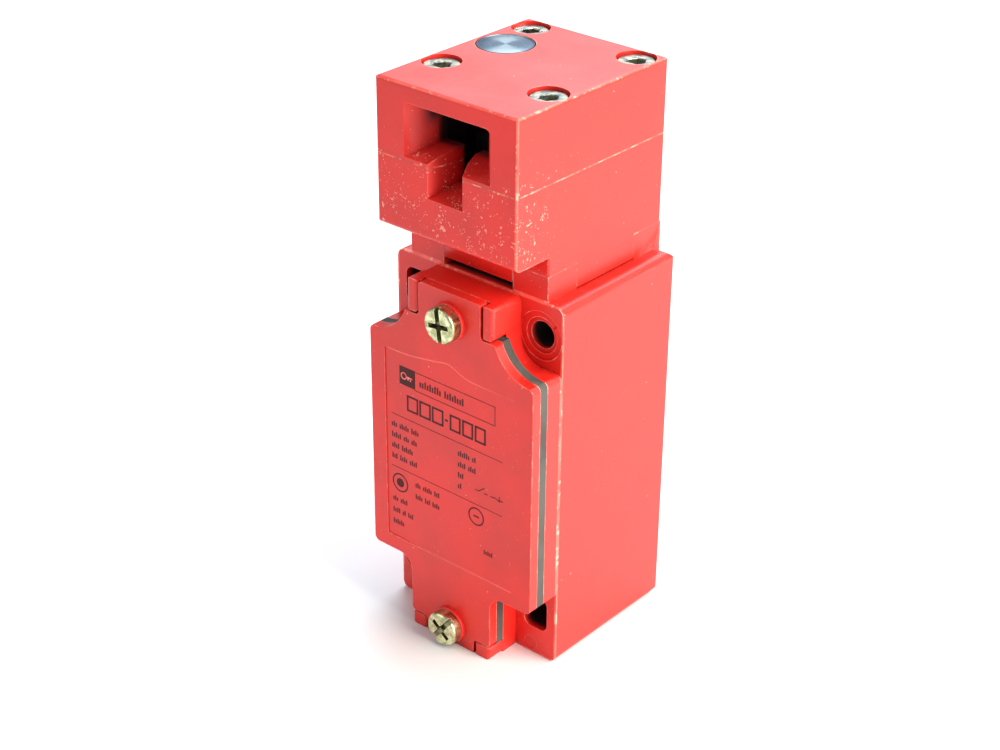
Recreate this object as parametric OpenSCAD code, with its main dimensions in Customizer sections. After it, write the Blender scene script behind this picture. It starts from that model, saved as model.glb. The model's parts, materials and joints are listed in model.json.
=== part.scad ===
// Key-operated limit switch: a die-cast casing with a gasketed cover, a contact block inside it,
// and a two-part head whose cam wheel is turned by a key and moves a plunger.
// X is the width, -Y is the front (cover) side and +Z is up. The origin is on the plunger's axis,
// at the mouth of the cable entry in the bottom face.

/* [Casing] */
// Width of the casing and cover
body_w = 40; // [39:0.5:42]
// Height of the shoulder that the head stands on
body_h = 76.4; // [76.2:0.1:78]
// Distance from the plunger's axis to the back face
back_y = 16.7; // [16.5:0.1:18]
// Distance from the plunger's axis to the casing's front rim
rim_y = 20.3; // [20.1:0.1:20.6]
// Thickness of the casing's side walls
wall = 3; // [2.5:0.1:3.2]
// Bore of the threaded cable entry
entry_d = 20; // [18:0.5:20.5]

/* [Fixing holes] */
// Distance between the fixing holes across the width
fix_pitch_x = 30; // [29.5:0.1:30.5]
// Distance between the fixing holes along the height
fix_pitch_z = 60; // [59.5:0.1:60.5]
// Height of the lower pair of fixing holes
fix_z = 9.6; // [9.4:0.1:9.8]
// Diameter of the round holes
fix_d = 5.3; // [4.5:0.1:5.6]
// Width of the slotted holes
fix_slot_w = 5.6; // [5.3:0.1:6]
// End-to-end length of the slotted holes
fix_slot = 7.3; // [6:0.1:7.5]

/* [Cover] */
// Thickness of the cover plate
cover_t = 2.1; // [1.8:0.1:2.3]
// Thickness of the sealing gasket behind it
gasket_t = 1.9; // [1.6:0.1:2]
// Diameter of the cover screws' heads
cover_head_d = 7.1; // [6.8:0.1:7.4]
// Thickness of the cover screws' heads
cover_head_t = 2.15; // [2:0.05:2.6]

/* [Head] */
// Width of the head and of the neck below it
head_w = 32.8; // [32.6:0.1:33]
// Height of the top face
head_top = 113.5; // [113:0.1:115]
// Height of the overhang's underside
head_under = 85.3; // [85.1:0.1:86]
// Height of the line where the two halves of the head meet
head_split = 99.2; // [99:0.1:99.4]
// How far the head's front face stands from the plunger's axis
head_front = 25.2; // [25:0.1:26]
// Distance between the head screws, both ways
head_pitch = 24.6; // [24.4:0.1:24.8]
// Width of the upper part of the key opening
key_w = 20; // [19:0.1:20.5]
// Width of the lower part of the key opening
key_slot_w = 8.2; // [7.6:0.1:8.6]

/* [Mechanism] */
// Plunger travel for each radian that the cam wheel turns
cam_rate = 3.8; // [3.6:0.1:3.8]
// Angle that a key turns the cam wheel through
cam_turn = 60; // [50:1:60]
// Distance from the cam's axis to the plunger's top with no key in
cam_high = 9; // [8.8:0.1:9]

/* [Hidden] */
$fn = 48;
eps = 0.01;
over = 1;          // how far a cutter runs past the face it opens
hw = body_w / 2;
neck = head_w / 2;
lug_y = neck;      // the corner lugs' front face is flush with the neck
gasket_y = rim_y + gasket_t;
cover_y = gasket_y + cover_t;

// The outline that casing, gasket and cover share, seen from the front
arm_top_w = 10.4;
arm_top_z = 76.1;
arm_low_w = 10.1;
wide_low = 15.2;
wide_top = 63.3;
cover_notch_r = 8.9;
casing_notch_r = 5;
low_r = 3.2;
edge_r = 1.2;
foot_r = 1.5;        // lower corners of the casing's block
arm_r = 1.2;         // upper corners of the casing's arm
// Ears beside the cover's two tabs
tab_top_w = 7.5;
tab_low_w = 6;
ear_top_z = 69.6;
ear_low_z = 2.8;
ear_gap = 0.2;
ear_clear = 0.4;
ear_r = 0.8;
// Stepped seats of the round fixing holes, and the slotted holes' corners
fix_seat_r = 4.75;
fix_seat_t = 0.3;
fix_step_r = 3.5;
fix_step_t = 0.6;
slot_corner_r = 1.6;
// Raised seats under the cover screws
boss_r = 3.8;
boss_t = 0.75;
// The recessed label panel, whose upper edge is a shallow wave
panel_left = -16.3;
panel_right = 15.6;
panel_low = 18.4;
panel_top = 59.7;
panel_depth = 0.2;
// Chamber inside the casing
chamber_low = 17.5;
chamber_top = 61;
chamber_back = back_y - 4;
chamber_r = 2;
// Passage from the chamber up into the head, with a gasket ring round its top
passage_r = 5.5;
ring_r = 8;
ring_t = 0.5;
seal_low = 73.2;
// Cover screws
cover_screw_z = [4.1, 70.4];
cover_screw_r = 2;
cover_screw_tip = 12.4;
thread_gap = 0.05;
tip_room = 0.3;      // how much deeper than its screw a tapped hole is
// Neck posts and head screws
post_w = 8.1;
post_z = 81.5;
foot_side_z = 76.7;
foot_front_z = 78;
head_hole = head_pitch / 2;
head_screw_r = 2;
head_screw_tip = 74.3;
head_screw_head_r = 3.5;
head_screw_head_t = 2.6;
head_screw_sunk = 0.6;
head_bore_r = 2.15;
counterbore_r = 3.75;
plan_r = 0.6;
// Cavity in the head
cavity_w = 7;
cavity_front = 17.5;
cavity_back = 11;
cavity_low = 88;
cavity_top = 110.5;
// Key opening: outer mouth and inner throat
mouth_low = 93.4;
mouth_ledge = 99.9;
mouth_top = 110.1;
mouth_x = 0.4;       // the mouth is a little off the middle
throat_y = 19.6;
throat_w = 6.3;
throat_slot_w = 2.2;
throat_low = 95.5;
throat_ledge = 102;
throat_top = 109.6;
bend_at = 0.45;      // where along the funnel it bends
bend_part = 0.6;     // how much of its narrowing lies before the bend
// Cam wheel, axle and retention drum
axle_r = 2;
axle_left = -14.4;
axle_right = 11;
wheel_w = 6.5;
drum_r = 5;
drum_end = 12;
pocket_floor = 2;
pocket_wall = -1.2;
tooth_top = 7.6;
// Plunger
flange_r = 4.6;
flange_t = 1.75;
stem_r = 3;
plunger_top = head_split - cam_high - 0.05;
stem_low = 70.05;
guide_floor = 82;
// Plug, pin and spring on top of the drum
plug_x = -9.9;
plug_y = 2.3;
plug_r = 5.5;
plug_t = 1.8;
pin_r = 2;
pin_top = 108;
// Contact block
block_w = 14.5;
block_front = 13;
block_back = chamber_back;
block_low = 28;
block_top = 60.4;
slot_w = 9.3;
slot_d = 3;
slot_low = 30.5;
slot_top = 58.4;
carrier_w = 3;
carrier_d = 2.4;
carrier_low = 35;
carrier_top = 57.8 - 4;
rod_r = 2.5;
carrier_rod_top = 70;
travel = cam_rate * cam_turn * PI / 180;
bridge_w = 8.8;
bridge_t = 0.8;
nc_z = 46.2;
no_z = 39.2;
tip_r = 1.2;
tip_t = 0.6;
tip_x = 7.6;
tip_gap = 0.05;
contact_t = 1;
// Undersides of the fixed contacts, so that each pair of tips meets at one end of the travel
nc_contact_z = nc_z + bridge_t + travel + tip_gap + 2 * tip_t;
no_contact_z = no_z - tip_gap - 2 * tip_t - contact_t;
strip_in = 12.4;     // upright strips that join the fingers to the terminal plates
strip_out = 13.4;
finger_half = 1.6;
terminal_x = 10.2;
terminal_z = [36.6, 53];
plate_half = 3.4;
terminal_r = 1.7;
window_h = 3.2;      // room above a bridge in its window
block_screw_x = 11.5;
block_screw_z = 44.5;
block_screw_r = 1.5;
ledge_half = 3.6;
// Earth terminal
earth_x = -12.5;
earth_z = 22;
earth_screw_r = 1.8;
earth_boss_t = 3;

red = [0.78, 0.12, 0.11];
brass_plate = [0.80, 0.74, 0.48];
steel = [0.72, 0.73, 0.75];
black = [0.08, 0.08, 0.09];
rubber_grey = [0.36, 0.37, 0.35];
copper = [0.78, 0.50, 0.33];

// A flat front-view shape given thickness between two depths
module slab(y0, y1) {
    translate([0, y1, 0]) rotate([90, 0, 0]) linear_extrude(y1 - y0) children();
}
// A side-view shape, drawn in Y and Z, given width between two X values
module side_slab(x0, x1) {
    translate([x0, 0, 0]) rotate([90, 0, 90]) linear_extrude(x1 - x0) children();
}
module box(x0, x1, y0, y1, z0, z1) {
    translate([x0, y0, z0]) cube([x1 - x0, y1 - y0, z1 - z0]);
}
// A cylinder along Y between two depths
module rod_y(x, z, r, y0, y1) {
    translate([x, y1, z]) rotate([90, 0, 0]) cylinder(r = r, h = y1 - y0);
}
// A cylinder along X between two places
module rod_x(y, z, r, x0, x1) {
    translate([x0, y, z]) rotate([0, 90, 0]) cylinder(r = r, h = x1 - x0);
}
module rod_z(x, y, r, z0, z1) {
    translate([x, y, z0]) cylinder(r = r, h = z1 - z0);
}
// A rectangle whose four corners are round
module round_rect(x0, y0, x1, y1, r) {
    translate([x0 + r, y0]) square([x1 - x0 - 2 * r, y1 - y0]);
    translate([x0, y0 + r]) square([x1 - x0, y1 - y0 - 2 * r]);
    for (x = [x0 + r, x1 - r]) for (y = [y0 + r, y1 - r]) translate([x, y]) circle(r);
}
module both_sides() {
    children();
    mirror([1, 0, 0]) children();
}
// The cross-shaped outline: a wide middle with a narrow arm above and below
module body_outline(notch_r) {
    round_rect(-hw, wide_low, hw, wide_top, edge_r);
    translate([-arm_top_w, wide_top - 2]) square([2 * arm_top_w, arm_top_z - wide_top + 2]);
    translate([-arm_low_w, 0]) square([2 * arm_low_w, wide_low + 2]);
    both_sides() {
        difference() {
            translate([arm_top_w - 1, wide_top - 1]) square([notch_r + 1, notch_r + 1]);
            translate([arm_top_w + notch_r, wide_top + notch_r]) circle(notch_r);
        }
        difference() {
            translate([arm_low_w - 1, wide_low - low_r]) square([low_r + 1, low_r + 1]);
            translate([arm_low_w + low_r, wide_low - low_r]) circle(low_r);
        }
    }
}
// The block behind the corner lugs, with its back and shoulder edges rounded
module casing_block() {
    back_r = 2.6;
    shoulder_r = 1.8;
    intersection() {
        linear_extrude(body_h) union() {
            round_rect(-hw, -lug_y, hw, back_y, 1);
            translate([-hw, -lug_y]) square([body_w, lug_y]);
        }
        slab(-lug_y - over, back_y + over) union() {
            round_rect(-hw, body_h / 3, hw, body_h, shoulder_r);
            round_rect(-hw, 0, hw, body_h / 2, foot_r);
        }
        side_slab(-hw - over, hw + over) union() {
            round_rect(-lug_y, 0, back_y, body_h, back_r);
            translate([-lug_y, 0]) square([lug_y, body_h]);
        }
    }
}
module fixing_holes() {
    half = fix_slot / 2;
    for (side = [-1, 1]) for (row = [0, 1]) {
        x = side * fix_pitch_x / 2;
        z = fix_z + row * fix_pitch_z;
        if (side * (row * 2 - 1) < 0)
            slab(-rim_y, back_y + over)
                round_rect(x - fix_slot_w / 2, z - half, x + fix_slot_w / 2, z + half, slot_corner_r);
        else {
            rod_y(x, z, fix_d / 2, -rim_y, back_y + over);
            // Stepped round seat for the fixing screw's head
            rod_y(x, z, fix_seat_r, -rim_y - over, -lug_y + fix_seat_t);
            rod_y(x, z, fix_step_r, -rim_y - over, -lug_y + fix_step_t);
        }
    }
}
// Small ring left by an ejector pin in the lower right lug
module ejector_mark() {
    rod_y(13.9, 2.1, 1.5, -lug_y - over, -lug_y + 0.1);
}
// One of the casing's ears beside the cover's tabs, its outer corners round
module ear(inner, outer, z0, z1) {
    intersection() {
        slab(-cover_y, -rim_y + eps) round_rect(inner, z0, outer, z1, ear_r);
        translate([0, 0, z0]) linear_extrude(z1 - z0)
            round_rect(inner, -cover_y, outer, -lug_y, ear_r);
    }
}
module casing_outline() difference() {
    body_outline(casing_notch_r);
    both_sides() corner_cut(arm_top_w, arm_top_z, arm_r, 1, 1);
}
module casing() color(red) {
    difference() {
        union() {
            casing_block();
            slab(-rim_y, -lug_y + eps) casing_outline();
            // Bars that close the gap behind the cover's tabs
            box(-tab_top_w - 1, tab_top_w + 1, -gasket_y, -rim_y + eps, ear_top_z, arm_top_z);
            box(-tab_low_w - 1, tab_low_w + 1, -gasket_y, -rim_y + eps, 0, ear_low_z);
            both_sides() {
                ear(tab_top_w + ear_gap, arm_top_w, ear_top_z, arm_top_z);
                ear(tab_low_w + ear_gap, arm_low_w, 0, ear_low_z);
            }
            // Neck posts, tapped for the head screws
            for (x = [-1, 1]) for (y = [-1, 1])
                translate([x * (neck - post_w / 2), y * (neck - post_w / 2), (body_h + post_z) / 2 - 1])
                    cube([post_w, post_w, post_z - body_h + 2], center = true);
        }
        // Chamber for the contact block, open at the front
        slab(-rim_y - over, chamber_back)
            round_rect(-hw + wall, chamber_low, hw - wall, chamber_top, chamber_r);
        rod_z(0, 0, entry_d / 2, -over, chamber_low + over);
        rod_z(0, 0, passage_r, chamber_top - over, body_h + over);
        rod_z(0, 0, ring_r + 0.1, body_h - ring_t, body_h + over);
        fixing_holes();
        ejector_mark();
        head_places() rod_z(0, 0, head_screw_r + thread_gap, head_screw_tip - tip_room, post_z + over);
        for (z = cover_screw_z)
            rod_y(0, z, cover_screw_r + thread_gap, -cover_y, -cover_screw_tip + tip_room);
        // Tapped holes in the back wall
        rod_y(earth_x, earth_z, earth_screw_r + thread_gap, chamber_back - over, chamber_back + 2);
        for (x = [-1, 1])
            rod_y(x * block_screw_x, block_screw_z, block_screw_r + thread_gap, 0, chamber_back + 2.6);
    }
    // Tapped boss for the earth screw
    difference() {
        rod_y(earth_x, earth_z, 2 * earth_screw_r, chamber_back - earth_boss_t, chamber_back + eps);
        rod_y(earth_x, earth_z, earth_screw_r + thread_gap,
              chamber_back - earth_boss_t - over, chamber_back + 2);
    }
}
function wave(x) = panel_top + 1.1 * exp(-pow((x + 3) / 5.5, 2)) + 0.9 * exp(-pow(x / 2.6, 2));
module label_panel() {
    steps = 32;
    polygon(concat([[panel_right, panel_low], [panel_right, panel_top]],
        [for (i = [steps : -1 : 0]) let (x = panel_left + (panel_right - 1 - panel_left) * i / steps)
            [x, wave(x)]],
        [[panel_left, panel_low]]));
}
// What rounds off a sharp corner of a flat shape; dx and dz say which way the corner points
module corner_cut(x, z, r, dx, dz) translate([x, z]) scale([dx, dz]) difference() {
    translate([-r, -r]) square(r + over);
    translate([-r, -r]) circle(r);
}
module cover_outline() difference() {
    body_outline(cover_notch_r);
    both_sides() {
        round_rect(tab_top_w, ear_top_z - ear_clear, hw + over, body_h + hw, ear_r);
        round_rect(tab_low_w, -hw, hw + over, ear_low_z + ear_clear / 2, ear_r);
        corner_cut(tab_top_w, arm_top_z, ear_r, 1, 1);
        corner_cut(arm_low_w, ear_low_z + ear_clear / 2, ear_r, 1, -1);
    }
}
module cover() color(red) difference() {
    union() {
        slab(-cover_y, -gasket_y) cover_outline();
        // Rib that locates the cover in the casing's mouth
        slab(-gasket_y - eps, -rim_y + 2) difference() {
            round_rect(-hw + wall + 0.8, chamber_low + 0.8, hw - wall - 0.8, chamber_top - 0.8, 1.6);
            round_rect(-hw + wall + 2.4, chamber_low + 2.4, hw - wall - 2.4, chamber_top - 2.4, 1.2);
        }
        // Raised seats for the screws
        for (z = cover_screw_z) rod_y(0, z, boss_r, -cover_y - boss_t, -cover_y + eps);
    }
    // The label panel's floor leans, so that the recess runs out at its right edge
    translate([panel_right, -cover_y, 0]) rotate([0, 0, -atan(panel_depth / (panel_right - panel_left))])
        translate([-panel_right, 0, 0]) slab(-over, 0) label_panel();
    for (z = cover_screw_z) rod_y(0, z, cover_screw_r + 0.3, -cover_y - over, -rim_y);
}
module cover_gasket() color(rubber_grey) slab(-gasket_y, -rim_y) difference() {
    body_outline(cover_notch_r);
    round_rect(-hw + wall + 0.5, chamber_low + 0.5, hw - wall - 0.5, chamber_top - 0.5, 1.8);
    translate([-hw, ear_top_z - ear_clear]) square([body_w, 20]);
    translate([-hw, -20 + ear_low_z + ear_clear / 2]) square([body_w, 20]);
    for (z = cover_screw_z) translate([0, z]) circle(cover_screw_r + 0.4);
}
// Head of a pan screw, standing on z = 0 and pointing up
module pan_head(r, t, edge) rotate_extrude() {
    square([r - edge, t]);
    square([r, t - edge]);
    translate([r - edge, t - edge]) circle(edge);
}
// Pan-head screw with a slot and a cross recess, turned to its own angle
module cover_screw(z, turn) color(brass_plate) translate([0, 0, z]) rotate([0, turn, 0]) {
    base = -cover_y - boss_t - thread_gap;
    top = base - cover_head_t;
    difference() {
        union() {
            translate([0, base, 0]) rotate([90, 0, 0]) pan_head(cover_head_d / 2, cover_head_t, 0.6);
            rod_y(0, 0, cover_screw_r, base - eps, -cover_screw_tip);
        }
        box(-0.55, 0.55, top - over, top + 1, -5, 5);
        box(-2.4, 2.4, top - over, top + 1.3, -0.5, 0.5);
        rod_y(0, 0, 0.9, top - over, top + 1.7);
    }
}
module cover_screw_top() cover_screw(cover_screw_z[1], -8);
module cover_screw_bottom() cover_screw(cover_screw_z[0], 38);

// Four places at the head screws
module head_places() {
    for (x = [-1, 1]) for (y = [-1, 1]) translate([x * head_hole, y * head_hole, 0]) children();
}
// Upright opening whose upper corners are round
module mouth_shape(x, half, z0, z1, r) {
    round_rect(x - half, z0, x + half, z1, r);
    translate([x - half, z0]) square([2 * half, (z1 - z0) / 2]);
}
// Funnel of the key opening: the mouth in the front face narrows fast at first, then slowly to the throat
module key_funnel(x, mouth_half, mouth_z0, mouth_z1, throat_half, throat_z0, throat_z1, r) {
    bend_y = head_front - bend_at * (head_front - throat_y);
    function part_way(a, b) = a + (b - a) * bend_part;
    bend_half = part_way(mouth_half, throat_half);
    bend_z0 = part_way(mouth_z0, throat_z0);
    bend_z1 = part_way(mouth_z1, throat_z1);
    hull() {
        slab(-head_front - over, -head_front + eps) mouth_shape(x, mouth_half, mouth_z0, mouth_z1, r);
        slab(-bend_y, -bend_y + eps) mouth_shape(part_way(x, 0), bend_half, bend_z0, bend_z1, r);
    }
    hull() {
        slab(-bend_y - eps, -bend_y) mouth_shape(part_way(x, 0), bend_half, bend_z0, bend_z1, r);
        slab(-throat_y - eps, -throat_y) mouth_shape(0, throat_half, throat_z0, throat_z1, r);
    }
    slab(-throat_y - eps, -cavity_front + over) mouth_shape(0, throat_half, throat_z0, throat_z1, r);
}
module key_opening() {
    key_funnel(mouth_x, key_w / 2, mouth_ledge, mouth_top, throat_w, throat_ledge, throat_top, 1.2);
    key_funnel(0, key_slot_w / 2, mouth_low, mouth_ledge + 1,
               throat_slot_w, throat_low, throat_ledge + 1, 0.1);
}
module head_cavity() {
    box(-cavity_w, cavity_w, -cavity_front, cavity_back, cavity_low, cavity_top);
    rod_x(0, head_split, drum_r + 0.5, -drum_end - 0.5, -cavity_w + over);
    rod_x(0, head_split, axle_r + 0.03, axle_left - 0.1, axle_right + 0.1);
}
// Plan of the head block, its four upright edges rounded
module head_plan() {
    round_rect(-neck, -head_front, neck, neck, plan_r);
}
module head_lower_housing() color(red) difference() {
    union() {
        intersection() {
            translate([0, 0, head_under]) linear_extrude(head_split - head_under) head_plan();
            side_slab(-neck - over, neck + over) union() {
                round_rect(-head_front, head_under, neck, head_split + 5, 1.2);
                translate([0, head_under]) square([neck, 5]);
            }
        }
        translate([0, 0, post_z]) linear_extrude(head_under - post_z + 3)
            round_rect(-neck, -neck, neck, neck, plan_r);
        // Cross-shaped foot between the neck posts
        box(-neck, neck, -neck + post_w + 0.1, neck - post_w - 0.1, foot_side_z, post_z + eps);
        box(-neck + post_w + 0.1, neck - post_w - 0.1, -neck, neck, foot_front_z, post_z + eps);
    }
    head_cavity();
    key_opening();
    rod_z(0, 0, flange_r + 0.15, guide_floor, cavity_low + over);
    rod_z(0, 0, stem_r + 0.05, foot_side_z - over, guide_floor + over);
    head_places() rod_z(0, 0, head_bore_r, foot_side_z, head_split + over);
}
module head_upper_housing() color(red) difference() {
    intersection() {
        translate([0, 0, head_split]) linear_extrude(head_top - head_split) head_plan();
        side_slab(-neck - over, neck + over)
            round_rect(-head_front, head_split - 5, neck, head_top, 0.7);
        slab(-head_front - over, neck + over) round_rect(-neck, head_split - 5, neck, head_top, 0.7);
    }
    head_cavity();
    key_opening();
    head_places() {
        rod_z(0, 0, head_bore_r, head_split - over, head_top + over);
        rod_z(0, 0, counterbore_r, head_top - head_screw_sunk - head_screw_head_t, head_top + over);
    }
    rod_z(plug_x, plug_y, plug_r + 0.08, head_top - plug_t, head_top + over);
    rod_z(plug_x, plug_y, pin_r + 0.1, head_split + 2, head_top - plug_t + eps);
}
// Cap screws that clamp both halves of the head to the neck posts
module head_screws() color(steel) head_places() difference() {
    seat = head_top - head_screw_sunk - head_screw_head_t;
    union() {
        rod_z(0, 0, head_screw_head_r, seat, head_top - head_screw_sunk);
        rod_z(0, 0, head_screw_r, head_screw_tip, seat + eps);
    }
    translate([0, 0, head_top - head_screw_sunk - 1.5]) cylinder(r = 1.75, h = 2.5, $fn = 6);
}
module head_gasket() color(rubber_grey) difference() {
    rod_z(0, 0, ring_r, body_h - ring_t, foot_side_z);
    rod_z(0, 0, passage_r + 0.1, body_h - over, foot_side_z + over);
}
module top_plug() color(steel) rod_z(plug_x, plug_y, plug_r, head_top - plug_t, head_top);

// A point of the cam's lobe: an involute, so that a flat plunger rises evenly as the wheel turns
function lobe(a) = let (h = cam_high - cam_rate * a * PI / 180)
    [h * sin(a) - cam_rate * cos(a), -h * cos(a) - cam_rate * sin(a)];
function ring(r, a) = [r * cos(a), r * sin(a)];
module wheel_profile() {
    step = 4;
    lobe_r = norm(lobe(0));
    back_r = (cam_high - travel) / sin(cam_turn) - 0.02;
    front_from = 180 - asin(pocket_floor / lobe_r);
    front_to = 180 + atan2(-lobe(0)[1], -lobe(0)[0]);
    polygon(concat(
        [for (a = [0 : step : cam_turn]) lobe(a)],
        [for (a = [0 : 10 : 80]) ring(back_r, a)],
        [[0.6, tooth_top], [pocket_wall, tooth_top], [pocket_wall, pocket_floor]],
        [for (i = [0 : 16]) ring(lobe_r, front_from + (front_to - front_from) * i / 16)]));
}
module cam_wheel() color(black) translate([0, 0, head_split]) difference() {
    union() {
        side_slab(-wheel_w, wheel_w) wheel_profile();
        rod_x(0, 0, drum_r, -drum_end, -wheel_w + eps);
    }
    rod_x(0, 0, axle_r + 0.06, -drum_end - over, wheel_w + over);
}
module cam_axle() color(steel) rod_x(0, head_split, axle_r, axle_left, axle_right);
module head_plunger() color(steel) {
    rod_z(0, 0, flange_r, plunger_top - flange_t, plunger_top);
    rod_z(0, 0, stem_r, stem_low, plunger_top - flange_t + eps);
}
// Coil springs are tubes of the coil's inner and outer size
module spring_tube(x, y, r, wire, z0, z1) color(steel) difference() {
    rod_z(x, y, r, z0, z1);
    rod_z(x, y, r - wire, z0 - over, z1 + over);
}
module plunger_spring() spring_tube(0, 0, 4.3, 0.9, guide_floor, plunger_top - flange_t);
module plunger_seal() color(rubber_grey) difference() {
    rod_z(0, 0, passage_r - 0.05, seal_low, body_h - ring_t - 0.1);
    rod_z(0, 0, stem_r + 0.06, seal_low - over, body_h + over);
}
// Round-nosed pin that presses on the drum and keeps the cam wheel where the key left it
module retention_pin() color(steel) {
    nose_z = head_split + sqrt(pow(drum_r + pin_r + 0.04, 2) - pow(plug_y, 2));
    translate([plug_x, plug_y, nose_z]) sphere(pin_r);
    rod_z(plug_x, plug_y, pin_r, nose_z, pin_top);
}
module retention_spring() spring_tube(plug_x, plug_y, 1.9, 0.5, pin_top, head_top - plug_t);

// Front view of the recess in which the carrier and its bridges move
module block_recess() {
    translate([-slot_w, slot_low]) square([2 * slot_w, slot_top - slot_low]);
}
module contact_block_base() color(black) difference() {
    slab(0, block_back) round_rect(-block_w, block_low, block_w, block_top, 1);
    slab(-over, slot_d) block_recess();
    rod_z(0, 0, rod_r + 0.06, slot_top - over, block_top + over);
    fixed_contact_slots();
    for (x = [-1, 1]) rod_y(x * block_screw_x, block_screw_z, block_screw_r + 0.15, -over, block_back + over);
}
module contact_block_front() color(black) difference() {
    union() {
        slab(-block_front + 4, 0) round_rect(-block_w, block_low, block_w, block_top, 1);
        // Barrier between the left and right terminals
        box(-4.2, 4.2, -block_front, -block_front + 4 + eps, block_low + 1, block_top - 1);
        box(-block_w, block_w, -block_front, -block_front + 4 + eps,
            block_screw_z - ledge_half, block_screw_z + ledge_half);
    }
    slab(-slot_d, over) block_recess();
    rod_z(0, 0, rod_r + 0.06, slot_top - over, block_top + over);
    fixed_contact_slots();
    for (x = [-1, 1]) {
        rod_y(x * block_screw_x, block_screw_z, block_screw_r + 0.15, -block_front - over, over);
        rod_y(x * block_screw_x, block_screw_z, 2.9, -block_front - over, -block_front + 2.4);
    }
    for (x = [-1, 1]) for (z = terminal_z)
        rod_y(x * terminal_x, z, terminal_r + 0.1, -block_front, -4.5);
}
// Fixed contacts: a finger with a silver tip inside, bent out to the terminal plate in front
module fixed_contact_slots() {
    both_sides() {
        fixed_contact_shape(nc_contact_z, 0.06);
        fixed_contact_shape(no_contact_z, 0.06);
    }
}
module fixed_contact_shape(z, gap) {
    finger_in = tip_x - 1.4;
    // Finger, then the riser beside the recess, then the plate under the terminal screw
    box(finger_in - gap, strip_out + gap, -finger_half - gap, finger_half + gap,
        z - gap, z + contact_t + gap);
    box(strip_in - gap, strip_out + gap, -block_front + 3 - gap, -finger_half + eps + gap,
        z - gap, z + contact_t + gap);
}
// Plate under the terminal screw, joined to the finger by an upright strip
module terminal_plate(z_contact, z_terminal) {
    y0 = -block_front + 3;
    z0 = min(z_contact, z_terminal - plate_half);
    z1 = max(z_contact + contact_t, z_terminal + plate_half);
    box(strip_in, strip_out, y0, y0 + 1, z0, z1);
    difference() {
        box(terminal_x - plate_half, strip_out, y0, y0 + 1, z_terminal - plate_half, z_terminal + plate_half);
        rod_y(terminal_x, z_terminal, terminal_r + 0.1, y0 - over, y0 + 1 + over);
    }
}
module nc_fixed_contacts() color(copper) both_sides() {
    fixed_contact_shape(nc_contact_z, 0);
    rod_z(tip_x, 0, tip_r, nc_contact_z - tip_t, nc_contact_z + eps);
    terminal_plate(nc_contact_z, terminal_z[1]);
}
module no_fixed_contacts() color(copper) both_sides() {
    fixed_contact_shape(no_contact_z, 0);
    rod_z(tip_x, 0, tip_r, no_contact_z + contact_t - eps, no_contact_z + contact_t + tip_t);
    terminal_plate(no_contact_z, terminal_z[0]);
}
// Carrier: a rod on top, and a bar with a window for each bridge
module contact_carrier() color([0.85, 0.85, 0.8]) difference() {
    union() {
        box(-carrier_w, carrier_w, -carrier_d, carrier_d, carrier_low, carrier_top);
        rod_z(0, 0, rod_r, carrier_top - eps, carrier_rod_top);
    }
    box(-carrier_w - over, carrier_w + over, -1.6, 1.6, nc_z, nc_z + bridge_t + window_h);
    box(-carrier_w - over, carrier_w + over, -1.6, 1.6, no_z - 0.02, no_z + bridge_t + window_h);
    rod_z(0, 0, 1.5, carrier_low - over, carrier_low + 1.5);
}
module bridge(z, tip_up) color(copper) {
    box(-bridge_w, bridge_w, -1.5, 1.5, z, z + bridge_t);
    for (x = [-1, 1]) rod_z(x * tip_x, 0, tip_r, z + (tip_up ? bridge_t - eps : -tip_t),
                            z + (tip_up ? bridge_t + tip_t : eps));
}
module nc_bridge() bridge(nc_z, true);
module no_bridge() bridge(no_z, false);
module bridge_springs() for (z = [nc_z, no_z])
    spring_tube(0, 0, 1.4, 0.4, z + bridge_t, z + bridge_t + window_h);
module carrier_spring() spring_tube(0, 0, 1.4, 0.4, slot_low, carrier_low + 1.5);

// Pan-head screw with a cross recess, its head towards the front
module small_screw(x, z, head_r, head_t, shank_r, y_head, y_tip) color(brass_plate) difference() {
    union() {
        rod_y(x, z, head_r, y_head - head_t, y_head);
        rod_y(x, z, shank_r, y_head - eps, y_tip);
    }
    front = y_head - head_t;
    box(x - 0.4, x + 0.4, front - over, front + 1, z - head_r - over, z + head_r + over);
    box(x - 1.5, x + 1.5, front - over, front + 1.2, z - 0.4, z + 0.4);
}
module terminal_screws() for (x = [-1, 1]) for (z = terminal_z)
    small_screw(x * terminal_x, z, 2.9, 2, terminal_r, -block_front + 2, -5);
module terminal_clamps() color(steel) for (x = [-1, 1]) for (z = terminal_z) difference() {
    box(x * terminal_x - 3.1, x * terminal_x + 3.1, -block_front + 2, -block_front + 3, z - 3.1, z + 3.1);
    rod_y(x * terminal_x, z, terminal_r + 0.05, -block_front, -block_front + 4);
}
module block_screws() for (x = [-1, 1])
    small_screw(x * block_screw_x, block_screw_z, 2.7, 2, block_screw_r,
                -block_front + 2.4, chamber_back + 2.4);
module earth_screw()
    small_screw(earth_x, earth_z, 3, 2, earth_screw_r, chamber_back - earth_boss_t - 1, chamber_back + 1.5);
module earth_clamp() color(steel) difference() {
    front = chamber_back - earth_boss_t - 1;
    box(earth_x - 3.3, earth_x + 3.3, front, front + 1, earth_z - 3.3, earth_z + 3.3);
    rod_y(earth_x, earth_z, earth_screw_r + 0.05, front - over, chamber_back);
}

casing();
cover();
cover_gasket();
cover_screw_top();
cover_screw_bottom();
head_lower_housing();
head_upper_housing();
head_screws();
head_gasket();
top_plug();
cam_wheel();
cam_axle();
head_plunger();
plunger_spring();
plunger_seal();
retention_pin();
retention_spring();
contact_block_base();
contact_block_front();
contact_carrier();
carrier_spring();
nc_bridge();
no_bridge();
bridge_springs();
nc_fixed_contacts();
no_fixed_contacts();
terminal_screws();
terminal_clamps();
block_screws();
earth_screw();
earth_clamp();
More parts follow.
